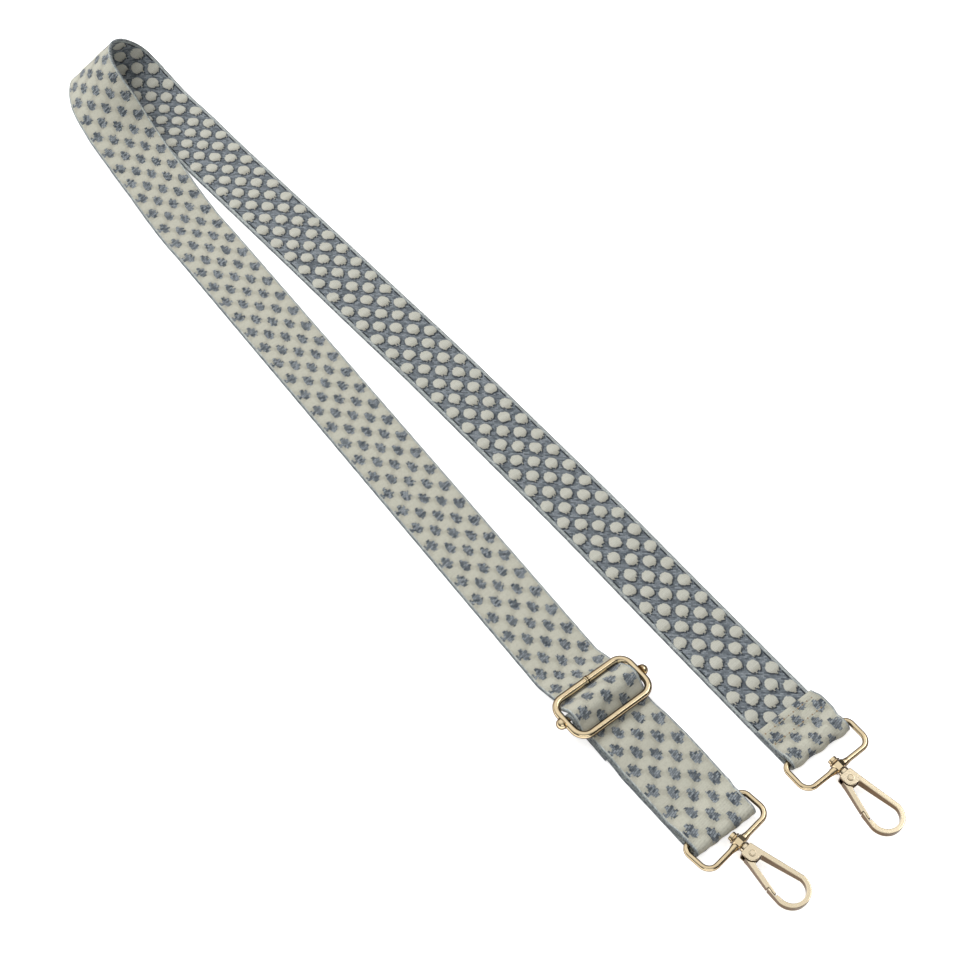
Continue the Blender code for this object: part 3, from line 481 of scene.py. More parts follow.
def cordColour(tree, vector):  # the pale cord along each selvedge, broken by darker picks
    pick = useGroup(tree, yarnGroup, Vector=turned(tree, vector, 70), Width=2.4, Height=1.3)
    dark = calc(tree, "MULTIPLY", inverse(tree, pick.outputs["Yarn"]), 0.75)
    pale = mixColour(tree, pick.outputs["Tone"], weave["edgeDark"], weave["selvedge"])
    return mixColour(tree, dark, mixColour(tree, 0.6, pale, weave["selvedge"]), weave["blueDark"])


def makeFrontMaterial():  # cream ground with blue-grey stars
    material, tree, shader, vector, across, along = weaveMaterial("webbingCream")
    stars = useGroup(tree, starGroup, Across=across, Along=along)
    mask, puff = stars.outputs["Mask"], stars.outputs["Puff"]
    rib = useGroup(tree, yarnGroup, Vector=turned(tree, vector, 8), Width=4.4, Height=1.05)
    dash = useGroup(tree, yarnGroup, Vector=turned(tree, vector, 14), Width=1.7, Height=0.95)
    soft = noise(tree, vector, 0.8, 3.0)
    fuzz = noise(tree, vector, 1.9, 3.0)
    # shade: painted shade in the creases between the pillows and in the hollow round each star, mixed with
    # the yarn's own texture and random tone
    shade = weighted(
        tree, 0.0, (inverse(tree, ramp(tree, puff, 0.0, 0.62)), 0.26), (stars.outputs["Near Shade"], 0.16),
        (inverse(tree, rib.outputs["Yarn"]), 0.22), (rib.outputs["Tone"], 0.10),
        (calc(tree, "SUBTRACT", soft, 0.5), 0.5), (calc(tree, "SUBTRACT", fuzz, 0.5), 0.9), clamp=True,
    )
    cream = mixColour(tree, shade, weave["cream"], weave["creamShade"])
    blue = mixColour(tree, dash.outputs["Tone"], weave["blueDark"], weave["blueLight"])
    blue = mixColour(tree, 0.05, blue, weave["blue"])
    gap = calc(tree, "MULTIPLY", inverse(tree, dash.outputs["Yarn"]), 0.9)
    blue = mixColour(tree, gap, blue, weave["blueDeep"])
    colour = mixColour(tree, mask, cream, blue)
    side = calc(tree, "ABSOLUTE", across)
    colour = mixColour(tree, ramp(tree, side, 17.75, 18.0), colour, cordColour(tree, vector))
    tree.links.new(colour, shader.inputs["Base Color"])
    shader.inputs["Roughness"].default_value = 0.85
    height = weighted(
        tree, 1.0, (mask, -0.35), (puff, 0.35), (rib.outputs["Yarn"], 0.35), (fuzz, 0.35),
        (calc(tree, "MULTIPLY", dash.outputs["Yarn"], mask), 0.35),
    )
    bumpFrom(tree, shader, height, 0.0004)
    return material


def makeBackMaterial():  # blue-grey ground with cream dots
    material, tree, shader, vector, across, along = weaveMaterial("webbingBlue")
    column = tree.nodes.new("ShaderNodeTexWhiteNoise")
    column.noise_dimensions = "2D"
    spot = tree.nodes.new("ShaderNodeCombineXYZ")
    tree.links.new(calc(tree, "FLOOR", calc(tree, "DIVIDE", across, dots["thread"])), spot.inputs[0])
    tree.links.new(calc(tree, "FLOOR", calc(tree, "DIVIDE", along, weave["rowPitch"])), spot.inputs[1])
    tree.links.new(spot.outputs[0], column.inputs["Vector"])
    fray = calc(tree, "MULTIPLY", column.outputs["Value"], dots["fray"])
    dot = useGroup(tree, dotGroup, Across=across, Along=along, Fray=fray)
    twill = useGroup(tree, yarnGroup, Vector=turned(tree, vector, 42), Width=1.9, Height=0.95)
    rib = useGroup(tree, yarnGroup, Vector=turned(tree, vector, -6), Width=4.4, Height=1.0)
    fuzz = noise(tree, vector, 1.9, 3.0)
    ground = mixColour(tree, twill.outputs["Tone"], weave["blueDark"], weave["blueLight"])
    ground = mixColour(tree, 0.25, ground, weave["blue"])
    gap = calc(tree, "MULTIPLY", inverse(tree, twill.outputs["Yarn"]), 0.7)
    ground = mixColour(tree, gap, ground, weave["blueDark"])
    # the Rim darkens the ground: painted shade round each dot, together with the dark dashes beside the outer
    # dots
    ground = mixColour(tree, dot.outputs["Rim"], ground, weave["blueDeep"])
    # the dots' cream is painted darker towards their lower side as painted shade, mixed with the yarn's own
    # texture and random tone
    shade = weighted(
        tree, 0.0, (inverse(tree, rib.outputs["Yarn"]), 0.3), (rib.outputs["Tone"], 0.12),
        (dot.outputs["Lower Shade"], 0.55), (calc(tree, "SUBTRACT", fuzz, 0.5), 0.9), clamp=True,
    )
    cream = mixColour(tree, shade, weave["dot"], weave["creamShade"])
    colour = mixColour(tree, dot.outputs["Mask"], ground, cream)
    side = calc(tree, "ABSOLUTE", across)
    colour = mixColour(tree, ramp(tree, side, 17.0, 17.25), colour, cordColour(tree, vector))
    tree.links.new(colour, shader.inputs["Base Color"])
    shader.inputs["Roughness"].default_value = 0.85
    height = weighted(
        tree, 0.0, (dot.outputs["Mask"], 0.8), (twill.outputs["Yarn"], 0.4), (rib.outputs["Yarn"], 0.2),
        (fuzz, 0.35),
    )
    bumpFrom(tree, shader, height, 0.0004)
    return material


def makeEdgeMaterial():
    material, tree, shader, vector, _, _ = weaveMaterial("webbingEdge")
    dash = useGroup(tree, yarnGroup, Vector=vector, Width=1.3, Height=1.2)
    tone = calc(tree, "MULTIPLY", dash.outputs["Tone"], 0.55)
    colour = mixColour(tree, tone, weave["edgeDark"], weave["selvedge"])
    gap = calc(tree, "MULTIPLY", inverse(tree, dash.outputs["Yarn"]), 0.95)
    colour = mixColour(tree, gap, colour, weave["blueDeep"])
    tree.links.new(colour, shader.inputs["Base Color"])
    shader.inputs["Roughness"].default_value = 0.9
    bumpFrom(tree, shader, dash.outputs["Yarn"], 0.0003)
    return material


thread = dict(
    colour=srgb(222, 218, 203), radius=0.24, pitch=3.3, reach=16.2, rows=(18.5, 11.5), inset=0.35, sink=0.30,
    # the brown hole colour is painted shade: a disc drawn at each needle hole
    arch=0.34, hole=srgb(168, 132, 92), holeRadius=0.5, holeHeight=0.08, holeDepth=0.3,
)


def makeThreadMaterial():
    material = bpy.data.materials.new("threadCream")
    material.use_nodes = True
    tree = material.node_tree
    shader = tree.nodes["Principled BSDF"]
    place = tree.nodes.new("ShaderNodeTexCoord")
    twist = tree.nodes.new("ShaderNodeTexWave")
    twist.bands_direction = "DIAGONAL"
    twist.inputs["Scale"].default_value = 900.0
    tree.links.new(place.outputs["Object"], twist.inputs["Vector"])
    tree.links.new(
        mixColour(tree, twist.outputs["Fac"], weave["creamShade"], thread["colour"]),
        shader.inputs["Base Color"],
    )
    shader.inputs["Roughness"].default_value = 0.7
    bumpFrom(tree, shader, twist.outputs["Fac"], 0.00005)
    return material


# needle holes are brown discs on the webbing, painted as the shade inside each hole
def makeHoleMaterial():
    material = bpy.data.materials.new("needleHoleShade")
    material.use_nodes = True
    tree = material.node_tree
    shader = tree.nodes["Principled BSDF"]
    place = tree.nodes.new("ShaderNodeTexCoord")
    soft = noise(tree, place.outputs["Object"], 2500.0, 2.0)
    tree.links.new(mixColour(tree, soft, thread["hole"], weave["creamShade"]), shader.inputs["Base Color"])
    shader.inputs["Roughness"].default_value = 0.9
    return material


# side: the dark colour painted on faces turned away from the eye, a painted dark reflection and shade
gold = dict(base=(0.97, 0.84, 0.62), shade=(0.89, 0.75, 0.52), side=(0.12, 0.068, 0.028), roughness=0.17)
warmGold = dict(  # rings, swivel pins and slider
    base=(0.95, 0.79, 0.53), shade=(0.84, 0.66, 0.40), side=(0.12, 0.062, 0.022), roughness=0.17,
)
steel = dict(base=(0.60, 0.60, 0.61), shade=(0.50, 0.50, 0.52), side=(0.30, 0.30, 0.31), roughness=0.3)


def makeMetalMaterial(name, tones):
    material = bpy.data.materials.new(name)
    material.use_nodes = True
    tree = material.node_tree
    shader = tree.nodes["Principled BSDF"]
    shader.inputs["Metallic"].default_value = 1.0
    place = tree.nodes.new("ShaderNodeTexCoord")
    soft = noise(tree, place.outputs["Object"], 260.0, 3.0)
    facing = tree.nodes.new("ShaderNodeLayerWeight")  # turned away from the eye
    facing.inputs["Blend"].default_value = 0.5
    colour = mixColour(tree, soft, (*tones["base"], 1), (*tones["shade"], 1))
    # faces and wire edges turned away from the eye take the side colour: painted dark reflection and shade
    colour = mixColour(tree, ramp(tree, facing.outputs["Facing"], 0.24, 0.52), colour, (*tones["side"], 1))
    tree.links.new(colour, shader.inputs["Base Color"])
    tree.links.new(
        calc(tree, "MULTIPLY_ADD", soft, 0.10, tones["roughness"] - 0.05), shader.inputs["Roughness"],
    )
    fine = noise(tree, place.outputs["Object"], 1800.0, 2.0)
    bumpFrom(tree, shader, fine, 0.000012)
    return material


frontMaterial = makeFrontMaterial()
backMaterial = makeBackMaterial()
edgeMaterial = makeEdgeMaterial()
threadMaterial = makeThreadMaterial()
holeMaterial = makeHoleMaterial()
goldMaterial = makeMetalMaterial("paleGold", gold)
warmMaterial = makeMetalMaterial("warmGold", warmGold)
steelMaterial = makeMetalMaterial("springSteel", steel)
print("materials made")

# The webbing's route, in strap millimetres

strap = dict(
    width=38.0, thickness=2.0, gap=0.3, ease=6.0, leftLane=-34.1, rightLane=34.1, length=531.0,
    lean=2.95, flapRise=10.0, flapSewn=12.0, slackA=4.3, slackB=1.3, foldFlat=2.5, loopRise=14.5,
    ringAlongA=2.0, ringAlongB=0.0, ringYawA=6.0, ringYawB=-0.6, foldYawA=-2.0, foldYawB=-3.2, ringWire=3.0,
)
sliderFit = dict(
    wire=3.9, side=23.85, height=27.4, corner=6.6, lift=1.5, bar=2.8, tab=12.5, tabEase=1.5, tabDrop=11.5,
    passFlat=3.5, passRise=15.5, passTail=4.0,
)

half = strap["thickness"] / 2
plyStep = strap["thickness"] + strap["gap"]
second, third = half + plyStep, half + 2 * plyStep
foldRadius = strap["ringWire"] / 2 + strap["gap"] + half
hookHeight = half + foldRadius
wireRadius = sliderFit["wire"] / 2 + strap["gap"] + half
sliderPlane = third + wireRadius + sliderFit["lift"]
sliderReach = (sliderFit["height"] - sliderFit["wire"]) / 2
barRadius = sliderFit["bar"] / 2 + strap["gap"] + half
passHead = sliderReach + sliderFit["passRise"] + sliderFit["passFlat"]
passTail = sliderReach + sliderFit["passTail"]
leanStart = (sliderReach + passHead) / 2
tabEnd = sliderReach + sliderFit["tab"]
returnEnd = tabEnd + sliderFit["tabEase"] / 2
dropStart = tabEnd + sliderFit["tabEase"]
dropEnd = dropStart + sliderFit["tabDrop"]
foldEnd = strap["loopRise"] + strap["foldFlat"]
passEnd = third + sliderFit["lift"] * (returnEnd - passTail) / (returnEnd - sliderReach)

rightDrift = (
    (0.000, 0.06), (0.012, 0.20), (0.028, 0.32), (0.016, 0.43), (-0.004, 0.56), (-0.052, 0.67),
    (-0.092, 0.77), (-0.137, 0.87), (-0.168, 0.94), (-0.180, 1.00),
)
farBend = (
    (0.03, 0.53, 0.015, 1.0, 4.0), (0.05, 0.88, 0.050, 5.0, 6.0), (0.09, 1.22, 0.130, 14.5, 5.0),
    (0.18, 1.52, 0.275, 32.0, -3.0),
    (0.36, 1.67, 0.480, 43.0, -22.0), (0.59, 1.55, 0.650, 44.5, -27.5), (0.77, 1.26, 0.680, 42.0, -25.5),
    (0.85, 0.93, 0.605, 32.0, -21.0),
    (0.86, 0.62, 0.465, 20.0, -13.0), (0.87, 0.30, 0.315, 10.0, -7.0), (0.88, -0.03, 0.210, 4.6, -5.0),
    (0.90, -0.37, 0.145, 3.0, -4.5),
    (0.92, -0.73, 0.105, 2.3, -4.5), (0.96, -1.26, 0.045, 1.0, -4.0), (0.99, -1.79, 0.000, 0.0, -3.5),
)
bendReturn = 2.16


# (along, height, radius, turn) of each round thing that the band goes over
def tautPath(supports, stepDeg=6.0):
    headings = []
    for first, after in zip(supports, supports[1:]):
        way = Vector(after[:2]) - Vector(first[:2])
        shift = after[3] * after[2] - first[3] * first[2]
        headings.append(math.atan2(way.y, way.x) - math.asin(shift / way.length))
    points = [Vector(supports[0][:2])]
    for support, arriving, leaving in zip(supports[1:], headings, headings[1:]):
        along, height, radius, turn = support
        swept = turn * (leaving - arriving) % math.tau
        if math.tau - swept < math.radians(1):
            swept = 0
        steps = math.ceil(math.degrees(swept) / stepDeg)
        for i in range(steps + 1):
            heading = arriving + turn * swept * i / max(steps, 1)
            outwards = Vector((math.sin(heading), -math.cos(heading)))
            points.append(Vector((along, height)) + turn * radius * outwards)
    points.append(Vector(supports[-1][:2]))
    return points


def rowOf(x, y, z, lift=0.0, turn=0.0):
    lift, turn = math.radians(lift), math.radians(turn)
    z = max(z, half + strap["width"] / 2 * abs(math.sin(lift)))
    level = Vector((math.cos(turn), math.sin(turn), 0))
    return Vector((x, y, z)), level * math.cos(lift) + Vector((0, 0, math.sin(lift)))


def smoothRows(stations, step=1.0):
    rows = []
    last = len(stations) - 1
    for i in range(last):
        four = [np.array(stations[min(max(i + k, 0), last)], float) for k in (-1, 0, 1, 2)]
        count = max(1, round(float(np.linalg.norm(four[2][:3] - four[1][:3])) / step))
        for k in range(count):
            t = k / count
            w = (
                (2 * t * t - t - t ** 3) / 2, (2 - 5 * t * t + 3 * t ** 3) / 2,
                (t + 4 * t * t - 3 * t ** 3) / 2, (t ** 3 - t * t) / 2,
            )
            rows.append(rowOf(*sum(share * p for share, p in zip(w, four))))
    rows.append(rowOf(*stations[last]))
    return rows


def evenRows(rows, step=1.0):  # long straights get rows a step apart
    found = []
    for (c0, a0), (c1, a1) in zip(rows, rows[1:]):
        count = max(1, round((c1 - c0).length / step))
        for k in range(count):
            t = k / count
            found.append((c0.lerp(c1, t), a0.lerp(a1, t).normalized()))
    found.append(rows[-1])
    return found


def foldRows(side, rise, topEnd, bottomEnd, lane):
    ease, yaw, slack = strap["ease"], strap[f"foldYaw{side}"], strap[f"slack{side}"]
    turn = math.radians(abs(strap[f"ringYaw{side}"] - yaw))
    clear = strap[f"ringAlong{side}"] + strap["width"] / 2 * math.sin(turn)
    path = tautPath((
        (topEnd, second, 0, 1), (rise, second + ease, ease, -1), (clear, hookHeight, foldRadius, 1),
        (-slack, hookHeight, foldRadius, 1), (bottomEnd, half, 0, 1),
    ))
    return evenRows([rowOf(lane, y, z, 0, yaw * min(max(1 - y / foldEnd, 0), 1)) for y, z in path])


def spread(rows, amounts):  # amounts at each row: sideways, upwards, share of the width
    moved = []
    for (centre, across), (side, up, wide) in zip(rows, amounts):
        moved.append((centre + across.normalized() * side + Vector((0, 0, up)), across * wide))
    return moved


def easeOf(value):
    value = min(max(value, 0), 1)
    return value * value * (3 - 2 * value)


def leanPlace(distance):
    lean = math.radians(strap["lean"])
    along = sliderPlace["distance"] + leanStart + math.cos(lean) * distance
    return strap["leftLane"] + math.sin(lean) * distance, along


def leanDistance(along):
    return (along - leanStart) / math.cos(math.radians(strap["lean"]))


runEnd = leanDistance(strap["length"] - bendReturn * strap["width"] - sliderPlace["distance"])


def fixedRows():
    rows = foldRows("B", strap["flapRise"], strap["flapRise"] + strap["flapSewn"], 0, strap["rightLane"])
    stations = [(strap["rightLane"], 0, half, 0, strap["foldYawB"])]
    for drift, share in rightDrift:
        stations.append((strap["rightLane"] + drift * strap["width"], share * strap["length"], half, 0, 0))
    bendX = stations[-1][0]
    endX, endY = leanPlace(runEnd)
    for across, along, up, lift, turn in farBend:
        x, y = bendX + across * (endX - bendX), strap["length"] + along * strap["width"]
        stations.append((x, y, half + up * strap["width"], lift, turn))
    stations.append((endX, endY, half, 0, -strap["lean"]))
    return rows[:-1] + smoothRows(stations)


def runRows():
    rows = []
    for distance in (runEnd, leanDistance(passHead)):
        x, y = leanPlace(distance)
        rows.append(rowOf(x, y, half, 0, -strap["lean"]))
    return evenRows(rows)


def sliderSpread(rows, side):  # the plies inside the frame stand out a little at both sides
    amounts = []
    for centre, _ in rows:
        near = 1 - easeOf((abs(centre[1] - sliderPlace["distance"]) - sliderReach + 3) / 5)
        high = easeOf((centre[2] - third - half) / 3)
        amounts.append((side * near * high, 0, 1 + sliderLook["spread"] * near * high))
    return spread(rows, amounts)


def passRows():
    ease = strap["ease"]
    path = tautPath((
        (passHead, half, 0, 1), (sliderReach + sliderFit["passRise"], half + ease, ease, -1),
        (sliderReach, sliderPlane, wireRadius, -1),
        (0, sliderPlane, barRadius + plyStep, 1), (-sliderReach, sliderPlane, wireRadius, -1),
        (-passTail, passEnd, 0, 1),
    ))
    length = passHead - sliderReach
    rows = []
    for y, z in path:
        share = max((y - sliderReach) / length, 0)
        x = math.tan(math.radians(strap["lean"])) * length * share ** 2 / 2
        rows.append(rowOf(strap["leftLane"] + x, sliderPlace["distance"] + y, z, 0, -strap["lean"] * share))
    return evenRows(rows)


def levelRows(path, lane, offset=0.0):
    return evenRows([rowOf(lane, y + offset, z) for y, z in path])


def sewnRows():
    path = tautPath((
        (-returnEnd, second, 0, 1), (-sliderReach, sliderPlane, wireRadius + plyStep, 1),
        (0, sliderPlane, barRadius, -1),
        (-sliderReach, sliderPlane, wireRadius + 2 * plyStep, -1), (-tabEnd, half, 0, 1),
    ))
    return levelRows(path, strap["leftLane"], sliderPlace["distance"])


def loopRows(start, startHeight, high, low):
    ease, distance = strap["ease"], sliderPlace["distance"]
    path = tautPath((
        (distance - start, startHeight, 0, 1), (distance - dropStart, high - ease, ease, 1),
        (distance - dropEnd, low + ease, ease, -1), (foldEnd, low, 0, 1),
    ))
    return levelRows(path, strap["leftLane"])


# Webbing mesh: both faces with their relief, and the thin edges

relief = dict(
    star=0.08, puff=0.16, dot=0.32, base=0.82, backDrop=0.1, edge=0.5, edgeWave=0.04, columns=56,
    fold=0.6, foldFade=7.0,
)


def faceHeight(u, v, front, lumps):
    a = (u / weave["columnPitch"] + v / weave["rowPitch"]) / 2
    b = (u / weave["columnPitch"] - v / weave["rowPitch"]) / 2
    fa, fb = a - np.round(a), b - np.round(b)
    du, dv = (fa + fb) * weave["columnPitch"], (fa - fb) * weave["rowPitch"]
    real = (np.abs(u - du) < 2.5 * weave["columnPitch"]).astype(float)
    near = np.clip(1 - (du / 3.6) ** 2 - (dv / 4.3) ** 2, 0, 1) * real
    if front:
        fade = np.clip((19 - np.abs(u)) / 2.5, 0, 1)
        pillow = np.abs(np.sin(math.pi * a) * np.sin(math.pi * b)) ** 1.4
        return relief["base"] + fade * pillow * (relief["puff"] + lumps) - relief["star"] * near
    return relief["base"] - relief["backDrop"] + relief["dot"] * np.sqrt(near)


def crossSection():  # place across, which face (0 at the edges) and the height of an edge's own points
    flat = strap["width"] / 2 - relief["edge"]
    places = np.linspace(-flat, flat, relief["columns"] + 1)
    corner = [(flat + 0.35, 0.75), (flat + 0.5, 0.0), (flat + 0.35, -0.75)]
    section = [(u, 1, 0) for u in places] + [(u, 0, h) for u, h in corner]
    section += [(u, -1, 0) for u in places[::-1]] + [(-u, 0, h) for u, h in reversed(corner)]
    return section


def surfacePoints(rows, run, v, section, rounded, lumps):
    centres = np.array([row[0] for row in rows])
    across = np.array([row[1] for row in rows])
    tangent = np.gradient(centres, axis=0)
    tangent /= np.linalg.norm(tangent, axis=1)[:, None]
    normal = np.cross(across, tangent)
    normal /= np.linalg.norm(normal, axis=1)[:, None]
    wave = relief["edgeWave"] * np.cos(math.tau * v / (2 * weave["rowPitch"]))
    thin = np.sqrt(np.clip(run / rounded, 0.12, 1))[:, None] if rounded else 1  # the cut end's soft edge
    points = np.empty((len(rows), len(section), 3))
    for j, (u, face, height) in enumerate(section):
        place = np.full(len(rows), u)
        heights = face * faceHeight(place, v, face < 0, lumps) if face else np.full(len(rows), height)
        reach = np.sign(u) * wave * np.clip((abs(u) - 12) / 7, 0, 1)
        points[:, j] = centres + across * u + (across * reach[:, None] + normal * heights[:, None]) * thin
    return points


def skinOf(points, section, v):  # corners, faces, material slots and places on the weave
    count = len(section)
    faces, slots, uvs = [], [], []
    for i in range(len(points) - 1):
        base, after = i * count, (i + 1) * count
        for j in range(count):
            k = (j + 1) % count
            faces.append((base + j, base + k, after + k, after + j))
            face = section[j][1] if section[j][1] == section[k][1] else 0
            slots.append({-1: 0, 1: 1, 0: 2}[face])
            left, right = (section[j][0], section[k][0]) if face else (0.0, 0.6)
            uvs += [(left, v[i]), (right, v[i]), (right, v[i + 1]), (left, v[i + 1])]
    corners = [points.reshape(-1, 3)]
    for end, flip in ((points[0], True), (points[-1], False)):  # own corners, so that no seam is shaded
        first = (len(points) + len(corners) - 1) * count
        cap = [first + j for j in range(count)]
        corners.append(end)
        faces.append(cap[::-1] if flip else cap)
        slots.append(2)
        uvs += [(section[j][0], j * 0.5) for j in range(count)]
    return np.concatenate(corners), faces, slots, uvs


def sweepWebbing(name, rows, knots, rounded=0, lumps=0):  # knots: run along the rows, place on the weave
    _, run = runOf(rows)
    v = np.interp(run, [knot[0] for knot in knots], [knot[1] for knot in knots])
    section = crossSection()
    points = surfacePoints(rows, run, v, section, rounded, lumps)
    corners, faces, slots, uvs = skinOf(points, section, v)
    mesh = bpy.data.meshes.new(name)
    mesh.from_pydata([tuple(toWorld(p)) for p in corners], [], faces)
    layer = mesh.uv_layers.new(name="weave")
    layer.data.foreach_set("uv", np.array(uvs, np.float32).ravel())
    for material in (frontMaterial, backMaterial, edgeMaterial):
        mesh.materials.append(material)
    mesh.polygons.foreach_set("material_index", slots)
    mesh.shade_smooth()
    mesh.update()
    shape = bmesh.new()
    shape.from_mesh(mesh)
    bmesh.ops.recalc_face_normals(shape, faces=shape.faces)
    shape.to_mesh(mesh)
    shape.free()
    made = bpy.data.objects.new(name, mesh)
    bpy.context.scene.collection.objects.link(made)
    return made


# Where whole patterns lie: distances up each strand and on the loop, and their numbers
seen = dict(
    rightAt=463.6, rightPitch=13.125,  # the right strand: pattern 0 and the spacing below it
    leftAt=497.3, leftNumber=20, leftPitch=13.264,
    loop=((56.7, 54), (43.4, 55), (30.4, 56), (17.0, 57)),
    flapShift=2.9, foldStretch=0.88, pastFold=1.5, cutEnd=1.2,
)
pattern = 2 * weave["rowPitch"]

sliderLook = dict(
    seam=0.4, flare=1.18, seat=0.85, neck=2.4, head=6.2, disc=0.5, shift=-0.6, tilt=2.0, barYaw=-2.0,
    side=-0.9, tabSide=-1.6, spread=0.09,
)

# How far the loop's and the flap's upper plies stand out from the plies below them
loopLook = dict(side=1.0, bulge=1.6, spread=0.05, hold=4.0, fade=8.0)
flapLook = dict(side=1.3, spread=0.065, start=6.0, hold=12.5, fade=7.5)


def leftNumber(y):
    return seen["leftNumber"] + (seen["leftAt"] - y) / seen["leftPitch"]


def loopNumber(y):
    ys, numbers = zip(*seen["loop"])
    return numbers[0] + (ys[0] - y) * (numbers[-1] - numbers[0]) / (ys[0] - ys[-1])


def runOf(rows):
    centres = np.array([row[0] for row in rows])
    return centres, np.concatenate([[0], np.cumsum(np.linalg.norm(np.diff(centres, axis=0), axis=1))])


def foldLumps(along, slack):
    return relief["fold"] * np.clip(1 - (along + slack) / relief["foldFade"], 0, 1)


def strapPiece(name, nodes, rows, first, last, body=None, knots=None, rounded=0, lumps=0):
    _, run = runOf(rows)
    _, run = runOf(rows)
    knots = knots or ((0, first * pattern), (run[-1], last * pattern))
    piece = sweepWebbing(name, rows, knots, rounded, lumps)
    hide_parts(*nodes)
    if body:
        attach(piece, body)
    return piece


def addFixedWebbing():  # the sewn flap, the right strand and the far bend
    rows = fixedRows()
    centres, run = runOf(rows)
    ys = centres[:, 1]
    amounts = []
    for distanceIn in run:
        wide = 0.25 + 0.75 * easeOf(distanceIn / flapLook["start"])
        wide *= 1 - easeOf((distanceIn - flapLook["hold"]) / flapLook["fade"])
        amounts.append((flapLook["side"] * wide, 0, 1 + flapLook["spread"] * wide))
    strandAt = int(np.argmax(centres[:, 2] <= half + 0.001))  # first row that lies on the table
    crest = int(np.argmax(ys))
    backAt = crest + int(np.argmax(ys[crest:] < seen["leftAt"] - 2 * seen["leftPitch"]))
    toFirst = seen["rightAt"] - ys[strandAt]
    strandStart = -toFirst / seen["rightPitch"] * pattern
    flapStart = strandStart - run[strandAt] + seen["flapShift"]
    flat = run[int(np.argmin(ys[:strandAt]))] + seen["pastFold"]
    knots = (
        (0, flapStart), (flat, flapStart + flat), (run[strandAt], strandStart), (run[strandAt] + toFirst, 0),
        (run[backAt], leftNumber(ys[backAt]) * pattern), (run[-1], leftNumber(ys[-1]) * pattern),
    )
    nodes = ("webbing_sewn_flap", "webbing_right_strand", "webbing_bend_rising", "webbing_bend_falling")
    lumps = foldLumps(ys, strap["slackB"])
    strapPiece("webbingStrap", nodes, spread(rows, amounts), 0, 0, "strap", knots, seen["cutEnd"], lumps)


def addUpperRun():
    first, last = leftNumber(leanPlace(runEnd)[1]), leftNumber(sliderPlace["distance"] + passHead)
    upper = strapPiece("webbingUpperRun", ("webbing_upper_run",), runRows(), first, last)
    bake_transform(upper)


def addSliderPass():
    first = leftNumber(sliderPlace["distance"] + passHead)
    last = loopNumber(sliderPlace["distance"] - passTail)
    rows = sliderSpread(passRows(), sliderLook["side"])
    strapPiece("webbingSliderPass", ("webbing_slider_pass",), rows, first, last, "slider")


def addLoopFront():
    top = sliderPlace["distance"] - passTail
    rows = loopRows(passTail, passEnd, third, second)
    amounts = []
    for centre, _ in rows:
        share = (top - centre[1]) / (top - foldEnd)
        wide = easeOf(share / 0.5)
        rise = loopLook["bulge"] * math.sin(math.pi * share) ** 0.8 if 0 < share < 1 else 0
        amounts.append((loopLook["side"] * wide, rise, 1 + loopLook["spread"] * wide))
    rows = spread(rows, amounts)
    front = strapPiece(
        "webbingLoopFront", ("webbing_loop_front",), rows, loopNumber(top), loopNumber(foldEnd),
    )
    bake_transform(front)


def addRingFold():
    rows = foldRows("A", strap["loopRise"], foldEnd, foldEnd, strap["leftLane"])
    centres, run = runOf(rows)
    first = loopNumber(foldEnd) * pattern
    last = first + run[-1]
    amounts = []
    for distanceIn in run:
        wide = 1 - easeOf((distanceIn - loopLook["hold"]) / loopLook["fade"])
        amounts.append((loopLook["side"] * wide, 0, 1 + loopLook["spread"] * wide))
    lowest = run[int(np.argmin(centres[:, 1]))] + seen["pastFold"]
    knots = ((0, first), (lowest, first + seen["foldStretch"] * lowest), (run[-1], last))
    lumps = foldLumps(centres[:, 1], strap["slackA"])
    rows = spread(rows, amounts)
    strapPiece("webbingRingFold", ("webbing_ring_fold",), rows, 0, 0, "hook_a_carrier", knots, 0, lumps)
    return last / pattern


def addLoopBack(first):
    rows = loopRows(returnEnd, second, second, half)[::-1]
    last = first + runOf(rows)[1][-1] / pattern
    back = strapPiece("webbingLoopBack", ("webbing_loop_back",), rows, first, last)
    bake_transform(back)
    return last


def addSewnEnd(first):
    rows = sliderSpread(sewnRows(), sliderLook["tabSide"])[::-1]
    last = first + runOf(rows)[1][-1] / pattern
    strapPiece("webbingSewnEnd", ("webbing_sewn_end",), rows, first, last, "slider")


def addWebbing():
    addFixedWebbing()
    addUpperRun()
    addSliderPass()
    addLoopFront()
    foldLast = addRingFold()
    backLast = addLoopBack(foldLast)
    addSewnEnd(backLast)
    print("webbing made")


# Solids for the fittings, in millimetres about their own place

def placeAt(x, y, z, yaw=0.0, tilt=0.0):
    place = Matrix.Translation(toWorld((x, y, z)))
    turn = Matrix.Rotation(math.radians(yaw), 4, "Z") @ Matrix.Rotation(math.radians(tilt), 4, "Y")
    return place @ turn @ Matrix.Scale(mm, 4)


def addPiece(name, mesh, material, place, body, slot, *nodes, sharp=38):
    mesh.transform(place)
    mesh.materials.clear()
    mesh.materials.append(material)
    mesh.shade_smooth()
    mesh.set_sharp_from_angle(angle=math.radians(sharp))
    made = bpy.data.objects.new(name, mesh)
    bpy.context.scene.collection.objects.link(made)
    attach(made, body)
    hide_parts(*nodes)
    return made


def arc(centre, radius, start, end, steps):
    points = []
    for i in range(steps + 1):
        angle = math.radians(start + (end - start) * i / steps)
        points.append(Vector((centre[0] + radius * math.cos(angle), centre[1] + radius * math.sin(angle), 0)))
    return points


